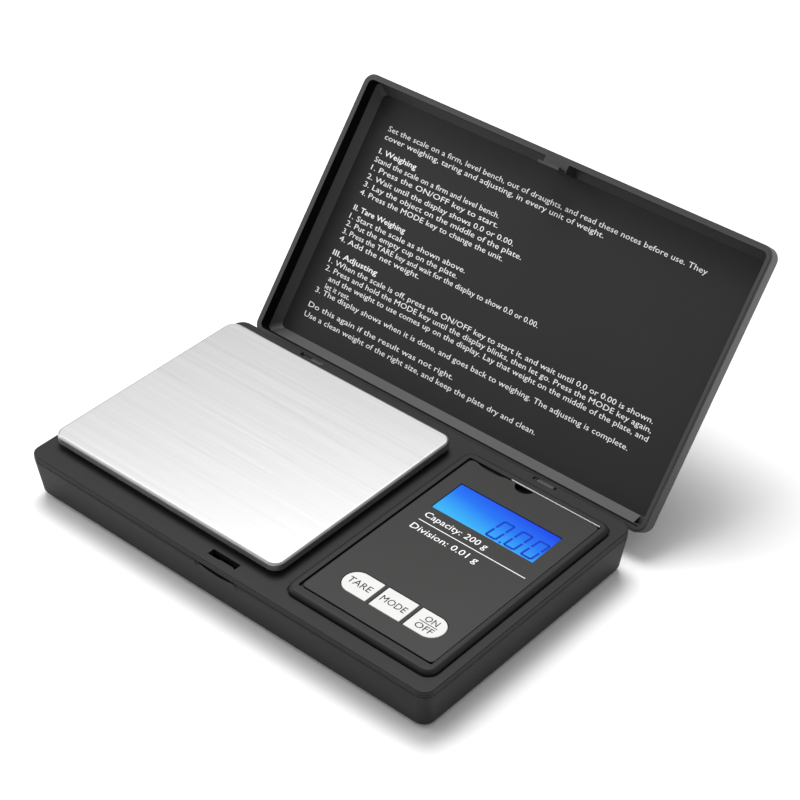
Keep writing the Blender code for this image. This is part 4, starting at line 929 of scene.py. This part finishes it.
# ---- Pieces that stay as packed ----------------------------------------------------------------
def dress_packed_solids():
    finishes = {
        "lcd_glass": GUIDE,
        "lcd_frame": CASE,
        "backlight": GUIDE,
        "zebra_strip": ZEBRA,
        "main_board": BOARD,
        "controller_chip": CHIP,
        "tare_dome": PLATED,
        "mode_dome": PLATED,
        "power_dome": PLATED,
        "load_cell": ALUMINIUM,
        "gauge_potting": POTTING,
        "pan_carrier": CASE,
        "contact_bridge": PLATED,
        "contact_negative": PLATED,
        "contact_positive": PLATED,
    }
    smoothed = {
        "load_cell_screw_1": (PIN, "base", "pin_steel"),
        "load_cell_screw_2": (PIN, "base", "pin_steel"),
        "overload_stop": (PIN, "base", "pin_steel"),
        "carrier_screw_1": (PIN, "pan", "pin_steel"),
        "carrier_screw_2": (PIN, "pan", "pin_steel"),
        "case_screw_front_left": (PIN, "base", "pin_steel"),
        "case_screw_front_right": (PIN, "base", "pin_steel"),
        "case_screw_back_left": (PIN, "base", "pin_steel"),
        "case_screw_back_right": (PIN, "base", "pin_steel"),
        "hinge_pin_left": (PIN, "base", "pin_steel"),
        "hinge_pin_right": (PIN, "base", "pin_steel"),
        "battery_1": (CELL, "base", "cell_wrap"),
        "battery_2": (CELL, "base", "cell_wrap"),
        "contact_spring_1": (PLATED, "base", "spring_steel"),
        "contact_spring_2": (PLATED, "base", "spring_steel"),
        "battery_lead_red": (RED, "base", "wire_red"),
        "battery_lead_black": (BLACK, "base", "wire_black"),
        "load_cell_cable": (GREY, "base", "wire_grey"),
    }
    for name, finish in finishes.items():
        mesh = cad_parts[name].data
        if not mesh.materials:
            mesh.materials.append(finish)
        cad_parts[name].material_slots[0].material = finish
    for name, (finish, body, slot) in smoothed.items():
        complete(copy_of(name, name + "_smooth"), finish, body, [name])


# ---- Room --------------------------------------------------------------------------------------
def make_floor():
    bpy.ops.object.select_all(action="DESELECT")
    bpy.ops.mesh.primitive_plane_add(size=6, location=(0, 0, -0.02 * MM))
    floor = named("floor")
    finish, _, shader = start_finish("floor_white")
    shader.inputs["Base Color"].default_value = (0.90, 0.90, 0.90, 1)
    shader.inputs["Roughness"].default_value = 0.9
    shader.inputs["Specular IOR Level"].default_value = 0.1
    floor.data.materials.append(finish)


def add_light(name, place, size, power, target=(0, -0.01, 0.01)):
    light = bpy.data.lights.new(name, "AREA")
    light.shape = "RECTANGLE"
    light.size, light.size_y = size
    light.energy = power
    obj = bpy.data.objects.new(name, light)
    obj.location = place
    obj.rotation_euler = (Vector(target) - Vector(place)).to_track_quat("-Z", "Y").to_euler()
    bpy.context.scene.collection.objects.link(obj)


def make_lights():
    world = bpy.data.worlds.new("studio")
    world.use_nodes = True
    world.node_tree.nodes["Background"].inputs["Color"].default_value = (1, 1, 1, 1)
    world.node_tree.nodes["Background"].inputs["Strength"].default_value = 0.55
    bpy.context.scene.world = world
    bpy.context.scene.view_settings.view_transform = "Standard"
    add_light("overhead", (-0.25, 0.20, 0.90), (0.55, 0.55), 9.0)
    add_light("left_fill", (-0.8, -0.35, 0.45), (0.6, 0.6), 2.5)


def make_camera():
    azimuth, elevation = math.radians(41.165), math.radians(37.42)
    away = Vector(
        (
            math.sin(azimuth) * math.cos(elevation),
            -math.cos(azimuth) * math.cos(elevation),
            math.sin(elevation),
        )
    )
    target = Vector((-10.452, 39.766 - 28.356, 11.64)) * MM
    camera = bpy.data.cameras.new("camera")
    camera.lens = 105.14
    camera.sensor_width = 36
    camera.clip_start = 0.01
    camera.clip_end = 20
    obj = bpy.data.objects.new("camera", camera)
    obj.location = target + away * 584.24 * MM
    obj.rotation_euler = away.to_track_quat("Z", "Y").to_euler()
    bpy.context.scene.collection.objects.link(obj)
    bpy.context.scene.camera = obj


def main():
    make_case()
    make_deck()
    make_feet()
    make_housing()
    make_overlay()
    make_keys()
    make_window()
    make_pan()
    make_lid()
    make_lid_flat()
    make_painted_shade_liner()
    make_lid_print()
    make_panel_print()
    make_key_legends()
    make_digits()
    dress_packed_solids()
    make_floor()
    make_lights()
    make_camera()


main()
